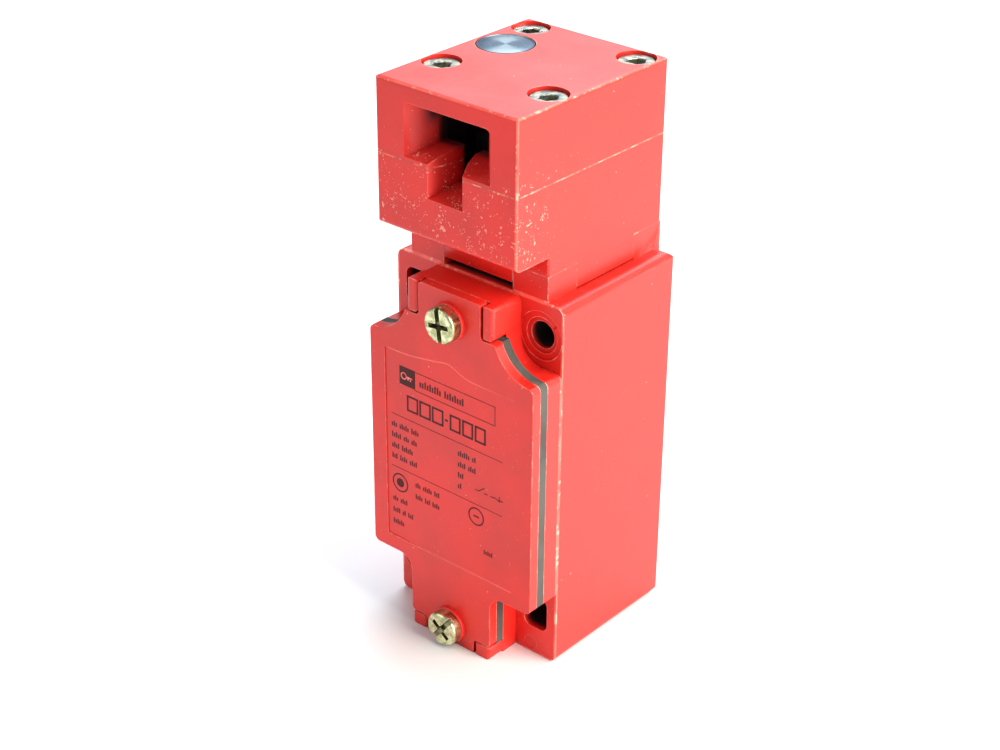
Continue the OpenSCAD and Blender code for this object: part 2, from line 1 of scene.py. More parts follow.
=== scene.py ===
import json
import math

import bmesh
import bpy
import numpy as np
from bpy.props import FloatProperty, FloatVectorProperty, IntProperty, PointerProperty
from mathutils import Matrix, Vector

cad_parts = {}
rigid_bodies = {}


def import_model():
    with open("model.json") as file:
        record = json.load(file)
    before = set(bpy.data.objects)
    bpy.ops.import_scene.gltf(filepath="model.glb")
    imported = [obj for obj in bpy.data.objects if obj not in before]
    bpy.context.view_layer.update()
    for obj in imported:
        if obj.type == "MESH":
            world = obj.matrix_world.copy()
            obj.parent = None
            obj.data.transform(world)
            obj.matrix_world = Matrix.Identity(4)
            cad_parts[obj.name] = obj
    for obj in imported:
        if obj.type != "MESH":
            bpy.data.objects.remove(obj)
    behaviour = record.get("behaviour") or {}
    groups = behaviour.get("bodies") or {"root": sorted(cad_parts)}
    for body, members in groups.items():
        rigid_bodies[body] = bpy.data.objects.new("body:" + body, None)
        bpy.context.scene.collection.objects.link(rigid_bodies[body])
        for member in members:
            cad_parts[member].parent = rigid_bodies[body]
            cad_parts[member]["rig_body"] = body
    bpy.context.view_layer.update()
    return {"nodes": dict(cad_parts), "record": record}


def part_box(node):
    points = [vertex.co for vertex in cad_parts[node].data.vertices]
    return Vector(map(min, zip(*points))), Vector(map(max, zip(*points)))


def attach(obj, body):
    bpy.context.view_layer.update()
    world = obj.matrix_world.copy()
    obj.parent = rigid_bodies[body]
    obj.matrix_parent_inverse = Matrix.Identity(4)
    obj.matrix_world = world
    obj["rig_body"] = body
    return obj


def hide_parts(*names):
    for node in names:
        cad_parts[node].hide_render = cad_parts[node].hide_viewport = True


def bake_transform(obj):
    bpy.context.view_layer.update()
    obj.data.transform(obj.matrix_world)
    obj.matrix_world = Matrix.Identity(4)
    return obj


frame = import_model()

bl_info = {
    "name": "Key-operated limit switch",
    "version": (1, 0, 0),
    "blender": (4, 5, 0),
    "location": "3D View > Sidebar > Limit switch",
    "description": "Builds the visible limit switch round its packed frame",
    "category": "Object",
}

MM = 0.001


def node_box(node):
    """Lowest and highest corner of a CAD node as numpy rows, in metres."""
    low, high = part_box(node)
    return np.array(low), np.array(high)


# ---------------------------------------------------------------- settings


class SwitchLooks(bpy.types.PropertyGroup):
    """Sizes and colours of the visible model that a user may change."""

    paint: FloatVectorProperty(
        name="Paint", description="Colour of the powder coat", subtype="COLOR",
        default=(0.7, 0.018, 0.011), min=0, max=1)
    chip: FloatVectorProperty(
        name="Chips", description="Colour where the coat is rubbed pale", subtype="COLOR",
        default=(0.9, 0.4, 0.3), min=0, max=1)
    gasket: FloatVectorProperty(
        name="Gasket", description="Colour of the sealing rubber", subtype="COLOR",
        default=(0.05, 0.05, 0.042), min=0, max=1)
    ink: FloatVectorProperty(
        name="Ink", description="Colour of the marks printed on the cover", subtype="COLOR",
        default=(0.022, 0.009, 0.01), min=0, max=1)
    edge_round: FloatProperty(
        name="Edge rounding", description="Radius of the castings' outer edges",
        unit="LENGTH", default=0.35 * MM, min=0.1 * MM, max=0.6 * MM)
    cover_round: FloatProperty(
        name="Cover rounding", description="Radius of the cover plate's front edges",
        unit="LENGTH", default=0.7 * MM, min=0.2 * MM, max=1 * MM)
    wear: FloatProperty(
        name="Wear", description="How much paint is rubbed off the edges",
        subtype="FACTOR", default=0.5, min=0, max=1)
    ink_thickness: FloatProperty(
        name="Ink thickness", description="How far the printed marks stand off the cover",
        unit="LENGTH", default=0.02 * MM, min=0.01 * MM, max=0.05 * MM)
    thread_pitch: FloatProperty(
        name="Thread pitch", description="Pitch of the cable entry's thread",
        unit="LENGTH", default=1.5 * MM, min=0.8 * MM, max=2 * MM)
    spring_turns: IntProperty(
        name="Spring turns", description="Turns of the plunger's spring", default=5, min=3, max=9)


def looks():
    return bpy.context.scene.switch_looks


# ---------------------------------------------------------------- shader trees


class Tree:
    """Adds shader nodes to one node tree and joins them up."""

    def __init__(self, tree):
        self.tree = tree

    def add(self, kind, **settings):
        node = self.tree.nodes.new("ShaderNode" + kind)
        for key, value in settings.items():
            setattr(node, key, value)
        return node

    def put(self, socket, value):
        if isinstance(value, bpy.types.NodeSocket):
            self.tree.links.new(value, socket)
        else:
            socket.default_value = value

    def math(self, operation, first, second=0.0, clamp=False):
        node = self.add("Math", operation=operation, use_clamp=clamp)
        self.put(node.inputs[0], first)
        self.put(node.inputs[1], second)
        return node.outputs[0]

    def step(self, value, low, high, out_low=0.0, out_high=1.0):
        """Smooth step from out_low to out_high as value goes from low to high."""
        node = self.add("MapRange", interpolation_type="SMOOTHSTEP")
        for name, given in (("Value", value), ("From Min", low), ("From Max", high),
                            ("To Min", out_low), ("To Max", out_high)):
            self.put(node.inputs[name], given)
        return node.outputs["Result"]

    def mix(self, factor, first, second):
        node = self.add("Mix", data_type="RGBA")
        self.put(node.inputs[0], factor)
        self.put(node.inputs[6], first)
        self.put(node.inputs[7], second)
        return node.outputs[2]

    def noise(self, vector, scale, detail=2.0, roughness=0.5, distortion=0.0):
        node = self.add("TexNoise")
        self.put(node.inputs["Vector"], vector)
        self.put(node.inputs["Scale"], scale)
        self.put(node.inputs["Detail"], detail)
        self.put(node.inputs["Roughness"], roughness)
        self.put(node.inputs["Distortion"], distortion)
        return node.outputs["Fac"]

    def vector(self, operation, first, second=(0, 0, 0)):
        node = self.add("VectorMath", operation=operation)
        self.put(node.inputs[0], first)
        if operation != "ABSOLUTE":
            self.put(node.inputs[1], second)
        return node.outputs["Vector"]

    def parts(self, vector):
        """The X, Y and Z of a vector."""
        node = self.add("SeparateXYZ")
        self.put(node.inputs[0], vector)
        return tuple(node.outputs)

    def combine(self, x, z):
        node = self.add("CombineXYZ")
        self.put(node.inputs["X"], x)
        self.put(node.inputs["Z"], z)
        return node.outputs[0]

    def place(self, vector, location=(0, 0, 0), rotation=(0, 0, 0), scale=(1, 1, 1)):
        node = self.add("Mapping")
        self.put(node.inputs["Vector"], vector)
        self.put(node.inputs["Location"], location)
        self.put(node.inputs["Rotation"], rotation)
        self.put(node.inputs["Scale"], scale)
        return node.outputs["Vector"]

    def object_place(self):
        return self.add("TexCoord").outputs["Object"]

    def bump(self, height, distance, strength=1.0, normal=None):
        node = self.add("Bump")
        self.put(node.inputs["Height"], height)
        self.put(node.inputs["Distance"], distance)
        self.put(node.inputs["Strength"], strength)
        if normal is not None:
            self.put(node.inputs["Normal"], normal)
        return node.outputs["Normal"]

    def group(self, name, **inputs):
        node = self.add("Group", node_tree=bpy.data.node_groups[name])
        for key, value in inputs.items():
            self.put(node.inputs[key.replace("_", " ")], value)
        return node


def new_group(name, inputs, outputs):
    """An empty shader group with float or vector inputs and float outputs."""
    group = bpy.data.node_groups.new(name, "ShaderNodeTree")
    for socket, kind, value in inputs:
        made = group.interface.new_socket(socket, in_out="INPUT", socket_type="NodeSocket" + kind)
        if value is not None:
            made.default_value = value
    for socket, kind in outputs:
        group.interface.new_socket(socket, in_out="OUTPUT", socket_type="NodeSocket" + kind)
    return Tree(group), (group.nodes.new("NodeGroupInput"), group.nodes.new("NodeGroupOutput"))


def edge_wear_group():
    """Masks of outer edges: Edge is the share of short rays into the solid that come out of it again,
    where nothing shades the point from outside, and feeds painted highlights; Worn is Edge broken up by
    noise, and feeds rubbed paint."""
    t, (given, out) = new_group("Edge wear and highlight", [
        ("Radius", "Float", 0.4 * MM), ("Amount", "Float", 0.5), ("Scale", "Float", 300.0),
        ("Place", "Vector", None)], [("Edge", "Float"), ("Worn", "Float")])
    thin = t.add("AmbientOcclusion", samples=8, inside=True, only_local=True)
    t.put(thin.inputs["Distance"], given.outputs["Radius"])
    shade = t.add("AmbientOcclusion", samples=4)
    shade.inputs["Distance"].default_value = 1.2 * MM
    outer = t.step(shade.outputs["AO"], 0.72, 0.92)
    edge = t.math("MULTIPLY", t.step(thin.outputs["AO"], 0.9, 0.55), outer)
    rough = t.noise(given.outputs["Place"], given.outputs["Scale"], 4.0, 0.62)
    limit = t.math("SUBTRACT", 0.78, t.math("MULTIPLY", given.outputs["Amount"], 0.45))
    chips = t.step(rough, t.math("SUBTRACT", limit, 0.05), t.math("ADD", limit, 0.05))
    t.put(out.inputs["Edge"], edge)
    t.put(out.inputs["Worn"], t.math("MULTIPLY", t.step(edge, 0.3, 0.8), chips))


def flecks_group():
    """Mask of small irregular pale flecks: the peaks of a fine noise, more of them where a broad
    noise is high and where Zone says so."""
    t, (given, out) = new_group("Paint flecks", [
        ("Scale", "Float", 1200.0), ("Zone", "Float", 0.3), ("Place", "Vector", None)],
        [("Mask", "Float")])
    fine = t.noise(given.outputs["Place"], given.outputs["Scale"], 1.0, 0.5)
    broad = t.noise(given.outputs["Place"], t.math("MULTIPLY", given.outputs["Scale"], 0.16), 3.0, 0.6)
    patch = t.step(broad, 0.42, 0.68)
    reach = t.math("MULTIPLY", t.math("ADD", patch, 0.25), given.outputs["Zone"])
    limit = t.math("SUBTRACT", 0.79, t.math("MULTIPLY", reach, 0.16))
    t.put(out.inputs["Mask"], t.step(fine, limit, t.math("ADD", limit, 0.035)))


def depth_group():
    """Mask of deep places, such as slits: little of the surroundings is open to them."""
    t, (given, out) = new_group("Deep shade", [("Reach", "Float", 7 * MM)], [("Mask", "Float")])
    shade = t.add("AmbientOcclusion", samples=6)
    t.put(shade.inputs["Distance"], given.outputs["Reach"])
    t.put(out.inputs["Mask"], t.step(shade.outputs["AO"], 0.3, 0.1))


def box_group():
    """Mask of a box round Middle: on each axis a smooth step from Half down to Half less Soft."""
    t, (given, out) = new_group("Inside a box", [
        ("Place", "Vector", None), ("Middle", "Vector", None), ("Half", "Vector", None),
        ("Soft", "Vector", None)], [("Mask", "Float")])
    away = t.vector("SUBTRACT", given.outputs["Place"], given.outputs["Middle"])
    away = t.parts(t.vector("ABSOLUTE", away))
    start = t.parts(t.vector("SUBTRACT", given.outputs["Half"], given.outputs["Soft"]))
    half = t.parts(given.outputs["Half"])
    mask = 1.0
    for axis in range(3):
        mask = t.math("MULTIPLY", mask, t.step(away[axis], half[axis], start[axis]))
    t.put(out.inputs["Mask"], mask)


def outline_group():
    """Mask of a painted highlight: a thin line along the label panel's wavy upper edge, fading out to the
    right, and along its lower edge: z near 59.7 + 1.1 exp(-((x + 3) / 5.5)^2) + 0.9 exp(-(x / 2.6)^2), in
    millimetres."""
    t, (given, out) = new_group("Panel outline", [("Place", "Vector", None)], [("Mask", "Float")])
    x, y, z = (t.math("MULTIPLY", part, 1 / MM) for part in t.parts(given.outputs["Place"]))
    crest = 59.7
    for middle, width, height in ((-3, 5.5, 1.1), (0, 2.6, 0.9)):
        square = t.math("POWER", t.math("MULTIPLY", t.math("SUBTRACT", x, middle), 1 / width), 2.0)
        bump = t.math("EXPONENT", t.math("MULTIPLY", square, -1.0))
        crest = t.math("ADD", crest, t.math("MULTIPLY", bump, height))
    top = t.step(t.math("ABSOLUTE", t.math("SUBTRACT", z, crest)), 0.3, 0.05)
    top = t.math("MULTIPLY", top, t.step(x, 14.0, 4.0))
    low = t.step(t.math("ABSOLUTE", t.math("SUBTRACT", z, 18.4)), 0.26, 0.05)
    low = t.math("MULTIPLY", low, t.step(x, -14.0, -9.0))
    within = t.math("MULTIPLY", t.step(t.math("ABSOLUTE", x), 15.6, 15.2), t.step(y, -17.0, -18.0))
    t.put(out.inputs["Mask"], t.math("MULTIPLY", t.math("MAXIMUM", top, low), within))


def scratches_group():
    """Mask of thin straight scratches: lines between long narrow cells, kept where noise allows."""
    t, (given, out) = new_group("Scratches", [
        ("Scale", "Float", 90.0), ("Width", "Float", 0.012), ("Amount", "Float", 0.4),
        ("Place", "Vector", None)], [("Mask", "Float")])
    lines = None
    for turn, long in (((0.3, 0.5, 0.9), (1, 9, 3)), ((1.1, 0.2, 2.1), (8, 1, 4))):
        place = t.place(given.outputs["Place"], rotation=turn, scale=long)
        cell = t.add("TexVoronoi", feature="DISTANCE_TO_EDGE")
        t.put(cell.inputs["Vector"], place)
        t.put(cell.inputs["Scale"], given.outputs["Scale"])
        line = t.step(cell.outputs["Distance"], given.outputs["Width"], 0.0)
        keep = t.noise(place, t.math("MULTIPLY", given.outputs["Scale"], 0.7), 2.0, 0.5)
        limit = t.math("SUBTRACT", 0.8, t.math("MULTIPLY", given.outputs["Amount"], 0.35))
        line = t.math("MULTIPLY", line, t.step(keep, limit, t.math("ADD", limit, 0.06)))
        lines = line if lines is None else t.math("MAXIMUM", lines, line)
    t.put(out.inputs["Mask"], lines)


def grain_group():
    """Height of a sprayed or moulded skin: soft waves with finer ones on top."""
    t, (given, out) = new_group("Surface grain", [
        ("Scale", "Float", 900.0), ("Fine", "Float", 0.3), ("Place", "Vector", None)],
        [("Height", "Float"), ("Tone", "Float")])
    soft = t.noise(given.outputs["Place"], given.outputs["Scale"], 2.0, 0.5)
    fine = t.noise(given.outputs["Place"], t.math("MULTIPLY", given.outputs["Scale"], 4.3), 3.0, 0.6)
    t.put(out.inputs["Height"], t.math("ADD", soft, t.math("MULTIPLY", fine, given.outputs["Fine"])))
    tone = t.noise(given.outputs["Place"], t.math("MULTIPLY", given.outputs["Scale"], 0.07), 3.0, 0.55)
    t.put(out.inputs["Tone"], tone)


def dust_group():
    """Mask of dust: in corners, where the surroundings shade the point, and on faces that look up; and
    Corner, the shaded corners alone, which feeds painted shade.
    """
    t, (given, out) = new_group("Dust and shade", [
        ("Amount", "Float", 0.4), ("Reach", "Float", 1.5 * MM), ("Place", "Vector", None)],
        [("Mask", "Float"), ("Corner", "Float")])
    shade = t.add("AmbientOcclusion", samples=6)
    t.put(shade.inputs["Distance"], given.outputs["Reach"])
    corner = t.step(shade.outputs["AO"], 0.85, 0.35)
    face = t.add("NewGeometry")
    split = t.add("SeparateXYZ")
    t.put(split.inputs[0], face.outputs["Normal"])
    up = t.step(split.outputs["Z"], 0.4, 1.0)
    cloud = t.noise(given.outputs["Place"], 420.0, 5.0, 0.65)
    patch = t.step(cloud, 0.45, 0.75)
    both = t.math("ADD", t.math("MULTIPLY", corner, 0.7), t.math("MULTIPLY", up, 0.35))
    mask = t.math("MULTIPLY", t.math("MULTIPLY", both, patch), given.outputs["Amount"], clamp=True)
    t.put(out.inputs["Mask"], mask)
    t.put(out.inputs["Corner"], corner)


def build_groups():
    for build in (edge_wear_group, flecks_group, depth_group, box_group, outline_group,
                  scratches_group, grain_group, dust_group):
        build()


# ---------------------------------------------------------------- materials

MADE = {}


def material(name):
    """A new material's tree and its Principled shader's inputs."""
    made = bpy.data.materials.new(name)
    made.use_nodes = True
    tree = Tree(made.node_tree)
    MADE[name] = made
    return tree, made.node_tree.nodes["Principled BSDF"].inputs


# Painted shade in the insides: the head's cavity behind the key opening, darker further up, the slit
# under the neck and the bores of the fixing holes are painted near black. Each is a middle, a half
# size and a soft margin, in millimetres.
PAINTED_SHADE_BOXES = [
    ((0, -2.5, 95), (12.7, 16.2, 10.2), (0.1, 1.6, 0.1)),
    ((0, -2.5, 106.5), (12.7, 18.3, 5.6), (0.1, 2.4, 1.5)),
    ((0, -5.2, 109), (12.7, 18.1, 5), (0.1, 3, 4)),
    ((0, 0, 77.2), (8.2, 16, 0.85), (0.1, 1.5, 0.02))] + [
    ((x, -0.1, z), (3.1, 16.1, 4), (0.1, 1.8, 0.1)) for x in (-15, 15) for z in (9.6, 69.6)]
# The blocks whose edges are lightened along their whole length, a painted highlight with rubbed paint
# where noise allows: the head and the casing, each with the height in millimetres from which it counts
EDGE_BOXES = [((0, -4.4, 86.5), (16.4, 20.8, 27), 77), ((0, 0.15, 38.2), (20, 16.55, 38.2), -1)]
# Painted shade in the funnel of the key opening: darker and a deeper red, as where only red light gets in
MOUTH_SHADE_BOX = ((0.4, -17, 101.6), (10.3, 8, 8.6), (0.1, 3.5, 0.1))


def box_mask(t, place, middle, half, soft):
    """Mask of one box, its sizes in millimetres."""
    sizes = {name: [c * MM for c in value]
             for name, value in (("Middle", middle), ("Half", half), ("Soft", soft))}
    return t.group("Inside a box", Place=place, **sizes).outputs["Mask"]


def box_edges(t, place):
    """Mask of the edges of EDGE_BOXES: of a point's distances inside the three pairs of faces, the
    smallest is nearly nothing and the middle one is small. The middle one of a, b and c is
    max(min(a, b), min(max(a, b), c))."""
    mask = 0.0
    for middle, half, bottom in EDGE_BOXES:
        away = t.vector("ABSOLUTE", t.vector("SUBTRACT", place, [c * MM for c in middle]))
        a, b, c = t.parts(t.vector("SUBTRACT", [h * MM for h in half], away))
        low, high = t.math("MINIMUM", a, b), t.math("MAXIMUM", a, b)
        second = t.math("MAXIMUM", low, t.math("MINIMUM", high, c))
        first = t.math("MINIMUM", low, c)
        skin = t.math("MULTIPLY", t.step(t.math("ABSOLUTE", first), 0.5 * MM, 0.35 * MM),
                      t.step(second, -0.3 * MM, -0.1 * MM))
        skin = t.math("MULTIPLY", skin,
                      t.step(t.parts(place)[2], (bottom - 0.5) * MM, bottom * MM))
        mask = t.math("MAXIMUM", mask, t.math("MULTIPLY", t.step(second, 0.55 * MM, 0.2 * MM), skin))
    return mask


def painted_shade_inside(t, place):
    """Mask of the painted shade in the insides listed in PAINTED_SHADE_BOXES."""
    mask = 0.0
    for box in PAINTED_SHADE_BOXES:
        mask = t.math("MAXIMUM", mask, box_mask(t, place, *box))
    return mask


def red_paint():
    """Semi-gloss red powder coat: slightly wavy skin, pale edges that are partly rubbed and partly a painted
    highlight, flecks and scratches, a painted highlight along the label panel's outline, a dusty seam
    between the head's halves, painted shade in the corners and in the key opening's funnel, and near black
    painted shade deep in the openings."""
    t, skin = material("red paint")
    place = t.object_place()
    grain = t.group("Surface grain", Scale=850.0, Fine=0.25, Place=place)
    wear = t.group("Edge wear and highlight", Radius=0.3 * MM, Amount=looks().wear, Scale=420.0, Place=place)
    _, depth, height = t.parts(place)
    # Most flecks are low on the front of the head, where the key strikes, and on its front corner
    head = t.step(height, 76 * MM, 86 * MM)
    low_head = t.math("MULTIPLY", head, t.step(height, 109 * MM, 95 * MM))
    front = t.step(depth, -8 * MM, -22 * MM)
    zone = t.math("ADD", 0.2, t.math("MULTIPLY", t.math("MULTIPLY", low_head, front), 1.05))
    flecks = t.group("Paint flecks", Scale=2700.0, Zone=t.math("MULTIPLY", zone, 0.95), Place=place)
    nicks = t.group("Paint flecks", Scale=1100.0, Zone=t.math("MULTIPLY", zone, 0.62),
                    Place=t.place(place, location=(0.3, 0.1, 0.2)))
    lines = t.group("Scratches", Scale=55.0, Width=0.012, Amount=0.3, Place=place)
    dust = t.group("Dust and shade", Amount=0.3, Reach=1.6 * MM, Place=place)
    # Painted shade deep in the openings: the head's openings are in PAINTED_SHADE_BOXES; below it the slits
    # are found by their depth
    deep = t.math("MULTIPLY", t.group("Deep shade", Reach=5 * MM).outputs[0],
                  t.step(height, 85 * MM, 84.5 * MM))
    seam = t.step(t.math("ABSOLUTE", t.math("SUBTRACT", height, 99.2 * MM)), 0.2 * MM, 0.07 * MM)
    cloud = t.noise(place, 300.0, 4.0, 0.65)
    seam = t.math("MULTIPLY", seam, t.step(cloud, 0.35, 0.65, 0.3, 0.7))
    dusty = t.mix(t.step(t.noise(place, 700.0, 3.0, 0.5), 0.46, 0.56), (0.1, 0.01, 0.008, 1),
                  (0.72, 0.2, 0.1, 1))
    outline = t.group("Panel outline", Place=place)
    edges = box_edges(t, place)
    rubs = t.math("MULTIPLY", edges, t.step(t.noise(place, 520.0, 4.0, 0.65), 0.56, 0.64))
    bare = t.math("MAXIMUM", t.math("MULTIPLY", t.math("MAXIMUM", wear.outputs["Worn"], rubs), 0.85),
                  t.math("MULTIPLY", t.math("MAXIMUM", nicks.outputs[0], flecks.outputs[0]), 0.65))
    paint = looks().paint
    colour = t.mix(t.step(grain.outputs["Tone"], 0.35, 0.65), [c * 0.9 for c in paint] + [1],
                   [min(1, c * 1.07) for c in paint] + [1])
    # Pale tint of rubbed paint, also used for the painted highlights on the edges and the panel's outline
    rubbed = [min(1, c * 1.15 + a) for c, a in zip(paint, (0.15, 0.14, 0.1))] + [1]
    # The neck's edges are sheltered by the head: less painted highlight and less rubbed paint there
    neck = t.math("MULTIPLY", t.step(height, 76.5 * MM, 77 * MM), t.step(height, 85 * MM, 84.5 * MM))
    patchy = t.step(t.noise(place, 190.0, 4.0, 0.6), 0.35, 0.65, 0.3, 0.8)
    patchy = t.math("MULTIPLY", patchy, t.math("SUBTRACT", 1.0, t.math("MULTIPLY", neck, 0.6)))
    # Painted highlight along the outer edges, partly rubbed paint: the edges are lightened towards the pale
    # tint
    colour = t.mix(t.math("MULTIPLY", t.math("MAXIMUM", wear.outputs["Edge"], edges), patchy),
                   colour, rubbed)
    colour = t.mix(t.math("MULTIPLY", lines.outputs[0], 0.35), colour, rubbed)
    # Painted highlight along the label panel's outline
    colour = t.mix(t.math("MULTIPLY", outline.outputs["Mask"], 0.55), colour, rubbed)
    colour = t.mix(t.math("MULTIPLY", dust.outputs["Mask"], 0.3), colour, (0.6, 0.3, 0.24, 1))
    # Painted shade in corners: the paint is darkened where the surroundings shade it
    colour = t.mix(t.math("MULTIPLY", dust.outputs["Corner"], 0.2), colour,
                   [c * 0.5 for c in paint] + [1])
    colour = t.mix(seam, colour, dusty)
    # Painted shade in the key opening's funnel: darker and a deeper red
    mouth_shade = box_mask(t, place, *MOUTH_SHADE_BOX)
    colour = t.mix(t.math("MULTIPLY", mouth_shade, 0.75), colour, (paint[0] * 0.75, 0.004, 0.002, 1))
    colour = t.mix(bare, colour, [*looks().chip, 1])
    # Painted shade, near black, deep in the openings and slits
    dark = t.math("MAXIMUM", t.math("MULTIPLY", deep, 0.9), painted_shade_inside(t, place))
    colour = t.mix(t.math("MULTIPLY", dark, 0.985), colour, (0.004, 0.003, 0.003, 1))
    t.put(skin["Base Color"], colour)
    rough = t.step(grain.outputs["Tone"], 0.3, 0.7, 0.32, 0.42)
    rough = t.math("ADD", rough, t.math("MULTIPLY", bare, 0.25), clamp=True)
    dull = t.math("MAXIMUM", dark, t.math("MULTIPLY", mouth_shade, 0.6))
    t.put(skin["Roughness"], t.math("ADD", rough, t.math("MULTIPLY", dull, 0.4), clamp=True))
    skin["Specular IOR Level"].default_value = 0.45
    dent = t.math("SUBTRACT", grain.outputs["Height"], t.math("MULTIPLY", bare, 1.4))
    dent = t.math("SUBTRACT", dent, t.math("MULTIPLY", lines.outputs[0], 0.6))
    t.put(skin["Normal"], t.bump(dent, 0.015 * MM, 0.5))


def rubber():
    """Matt grey sealing rubber with a fine cut grain and a little dust."""
    t, skin = material("gasket rubber")
    place = t.object_place()
    grain = t.group("Surface grain", Scale=1600.0, Fine=0.8, Place=place)
    dust = t.group("Dust and shade", Amount=0.8, Reach=1.2 * MM, Place=place)
    base = looks().gasket
    colour = t.mix(t.step(grain.outputs["Tone"], 0.3, 0.7), [c * 0.75 for c in base] + [1],
                   [c * 1.25 for c in base] + [1])
    colour = t.mix(t.math("MULTIPLY", dust.outputs["Mask"], 0.5), colour, (0.36, 0.33, 0.28, 1))
    t.put(skin["Base Color"], colour)
    skin["Roughness"].default_value = 0.78
    t.put(skin["Normal"], t.bump(grain.outputs["Height"], 0.03 * MM, 0.6))


def plated(name, bright, shade, rough, recess_shade, tint=(0.3, 0.27, 0.12)):
    """Plated steel: turning marks, mottled passivation, a painted highlight along the edges and painted
    shade in the recesses.
    """
    t, skin = material(name)
    place = t.object_place()
    grain = t.group("Surface grain", Scale=1500.0, Fine=0.5, Place=place)
    lines = t.group("Scratches", Scale=220.0, Width=0.03, Amount=0.5, Place=place)
    wear = t.group("Edge wear and highlight", Radius=0.2 * MM, Amount=0.8, Scale=600.0, Place=place)
    dust = t.group("Dust and shade", Amount=0.7, Reach=1.4 * MM, Place=place)
    mottle = t.noise(place, 620.0, 4.0, 0.6)
    colour = t.mix(t.step(mottle, 0.4, 0.6), [*shade, 1], [*bright, 1])
    # Painted highlight along the edges
    colour = t.mix(t.math("MULTIPLY", wear.outputs["Edge"], 0.8), colour,
                   [min(1, c * 1.25) for c in bright] + [1])
    # Painted shade in the recesses: darker towards the tint where the surroundings shade the point
    colour = t.mix(t.math("MULTIPLY", dust.outputs["Corner"], recess_shade), colour,
                   [c * 0.3 for c in tint] + [1])
    t.put(skin["Base Color"], colour)
    skin["Metallic"].default_value = 1.0
    dull = t.math("ADD", t.step(grain.outputs["Tone"], 0.3, 0.7, rough, rough + 0.14),
                  t.math("MULTIPLY", dust.outputs["Corner"], 0.3), clamp=True)
    t.put(skin["Roughness"], dull)
    height = t.math("SUBTRACT", grain.outputs["Height"], t.math("MULTIPLY", lines.outputs[0], 0.7))
    height = t.math("ADD", height, t.math("MULTIPLY", mottle, 3.0))
    t.put(skin["Normal"], t.bump(height, 0.03 * MM, 0.7))


# Direction of the turned plug's painted reflection fans, in degrees from X
FAN_ANGLE = -50


def turned_steel():
    """Bare steel turned round the plug's middle: fine rings, and painted light and dark fans, a painted
    reflection of where the rings catch the light: cos(2 (angle - FAN_ANGLE)), sharpened."""
    t, skin = material("turned steel")
    place = t.object_place()
    low, high = node_box("top_plug")
    middle = (low + high) / 2
    centred = t.place(place, location=[-c for c in middle])
    x, y, z = t.parts(centred)
    radius = t.math("SQRT", t.math("ADD", t.math("POWER", x, 2.0), t.math("POWER", y, 2.0)))
    turned = t.math("SINE", t.math("MULTIPLY", radius, 2 * math.pi / (0.16 * MM)))
    angle = t.math("ARCTAN2", y, x)
    fan = t.math("COSINE", t.math("MULTIPLY", t.math("SUBTRACT", angle, math.radians(FAN_ANGLE)), 2.0))
    fan = t.step(fan, -0.7, 0.95)
    rings = t.math("MULTIPLY", t.noise(t.combine(radius, z), 3000.0, 2.0, 0.5), 0.25)
    uneven = t.noise(centred, 2600.0, 2.0, 0.5)
    grain = t.group("Surface grain", Scale=900.0, Fine=0.5, Place=place)
    fan = t.math("ADD", t.math("MULTIPLY", fan, 0.85), t.math("SUBTRACT", rings, 0.12), clamp=True)
    # Painted reflection: the fans mix dark and light steel in the colour
    colour = t.mix(fan, (0.06, 0.09, 0.13, 1), (0.25, 0.3, 0.335, 1))
    # The plug's chamfer is darker
    rim = (high[0] - low[0]) / 2
    dark_chamfer = t.math("MULTIPLY", t.step(radius, rim * 0.95, rim * 0.975), t.step(radius, rim * 1.3, rim * 1.1))
    colour = t.mix(t.math("MULTIPLY", dark_chamfer, 0.85), colour, (0.03, 0.025, 0.03, 1))
    t.put(skin["Base Color"], colour)
    skin["Metallic"].default_value = 1.0
    t.put(skin["Roughness"], t.step(uneven, 0.3, 0.7, 0.36, 0.48))
    height = t.math("ADD", t.math("MULTIPLY", turned, 0.5), grain.outputs["Height"])
    t.put(skin["Normal"], t.bump(height, 0.006 * MM, 0.5))


def spring_steel():
    """Dark drawn wire with a slight sheen."""
    t, skin = material("spring steel")
    place = t.object_place()
    grain = t.group("Surface grain", Scale=2400.0, Fine=0.6, Place=place)
    colour = t.mix(t.step(grain.outputs["Tone"], 0.3, 0.7), (0.2, 0.2, 0.21, 1), (0.38, 0.38, 0.4, 1))
    t.put(skin["Base Color"], colour)
    skin["Metallic"].default_value = 1.0
    t.put(skin["Roughness"], t.step(grain.outputs["Tone"], 0.3, 0.7, 0.3, 0.45))
    t.put(skin["Normal"], t.bump(grain.outputs["Height"], 0.01 * MM, 0.4))


def moulded(name, base, rough):
    """Moulded plastic with a fine spark-eroded grain and slightly lighter edges, a painted highlight."""
    t, skin = material(name)
    place = t.object_place()
    grain = t.group("Surface grain", Scale=2600.0, Fine=0.7, Place=place)
    wear = t.group("Edge wear and highlight", Radius=0.25 * MM, Amount=0.4, Scale=500.0, Place=place)
    dust = t.group("Dust and shade", Amount=0.5, Reach=1.5 * MM, Place=place)
    colour = t.mix(t.step(grain.outputs["Tone"], 0.3, 0.7), [c * 0.8 for c in base] + [1],
                   [min(1, c * 1.2) for c in base] + [1])
    # Painted highlight along the edges
    colour = t.mix(t.math("MULTIPLY", wear.outputs["Edge"], 0.35), colour,
                   [min(1, c * 1.5 + 0.05) for c in base] + [1])
    colour = t.mix(t.math("MULTIPLY", dust.outputs["Mask"], 0.35), colour, (0.3, 0.28, 0.25, 1))
    t.put(skin["Base Color"], colour)
    t.put(skin["Roughness"], t.step(grain.outputs["Tone"], 0.3, 0.7, rough, rough + 0.12))
    t.put(skin["Normal"], t.bump(grain.outputs["Height"], 0.02 * MM, 0.5))


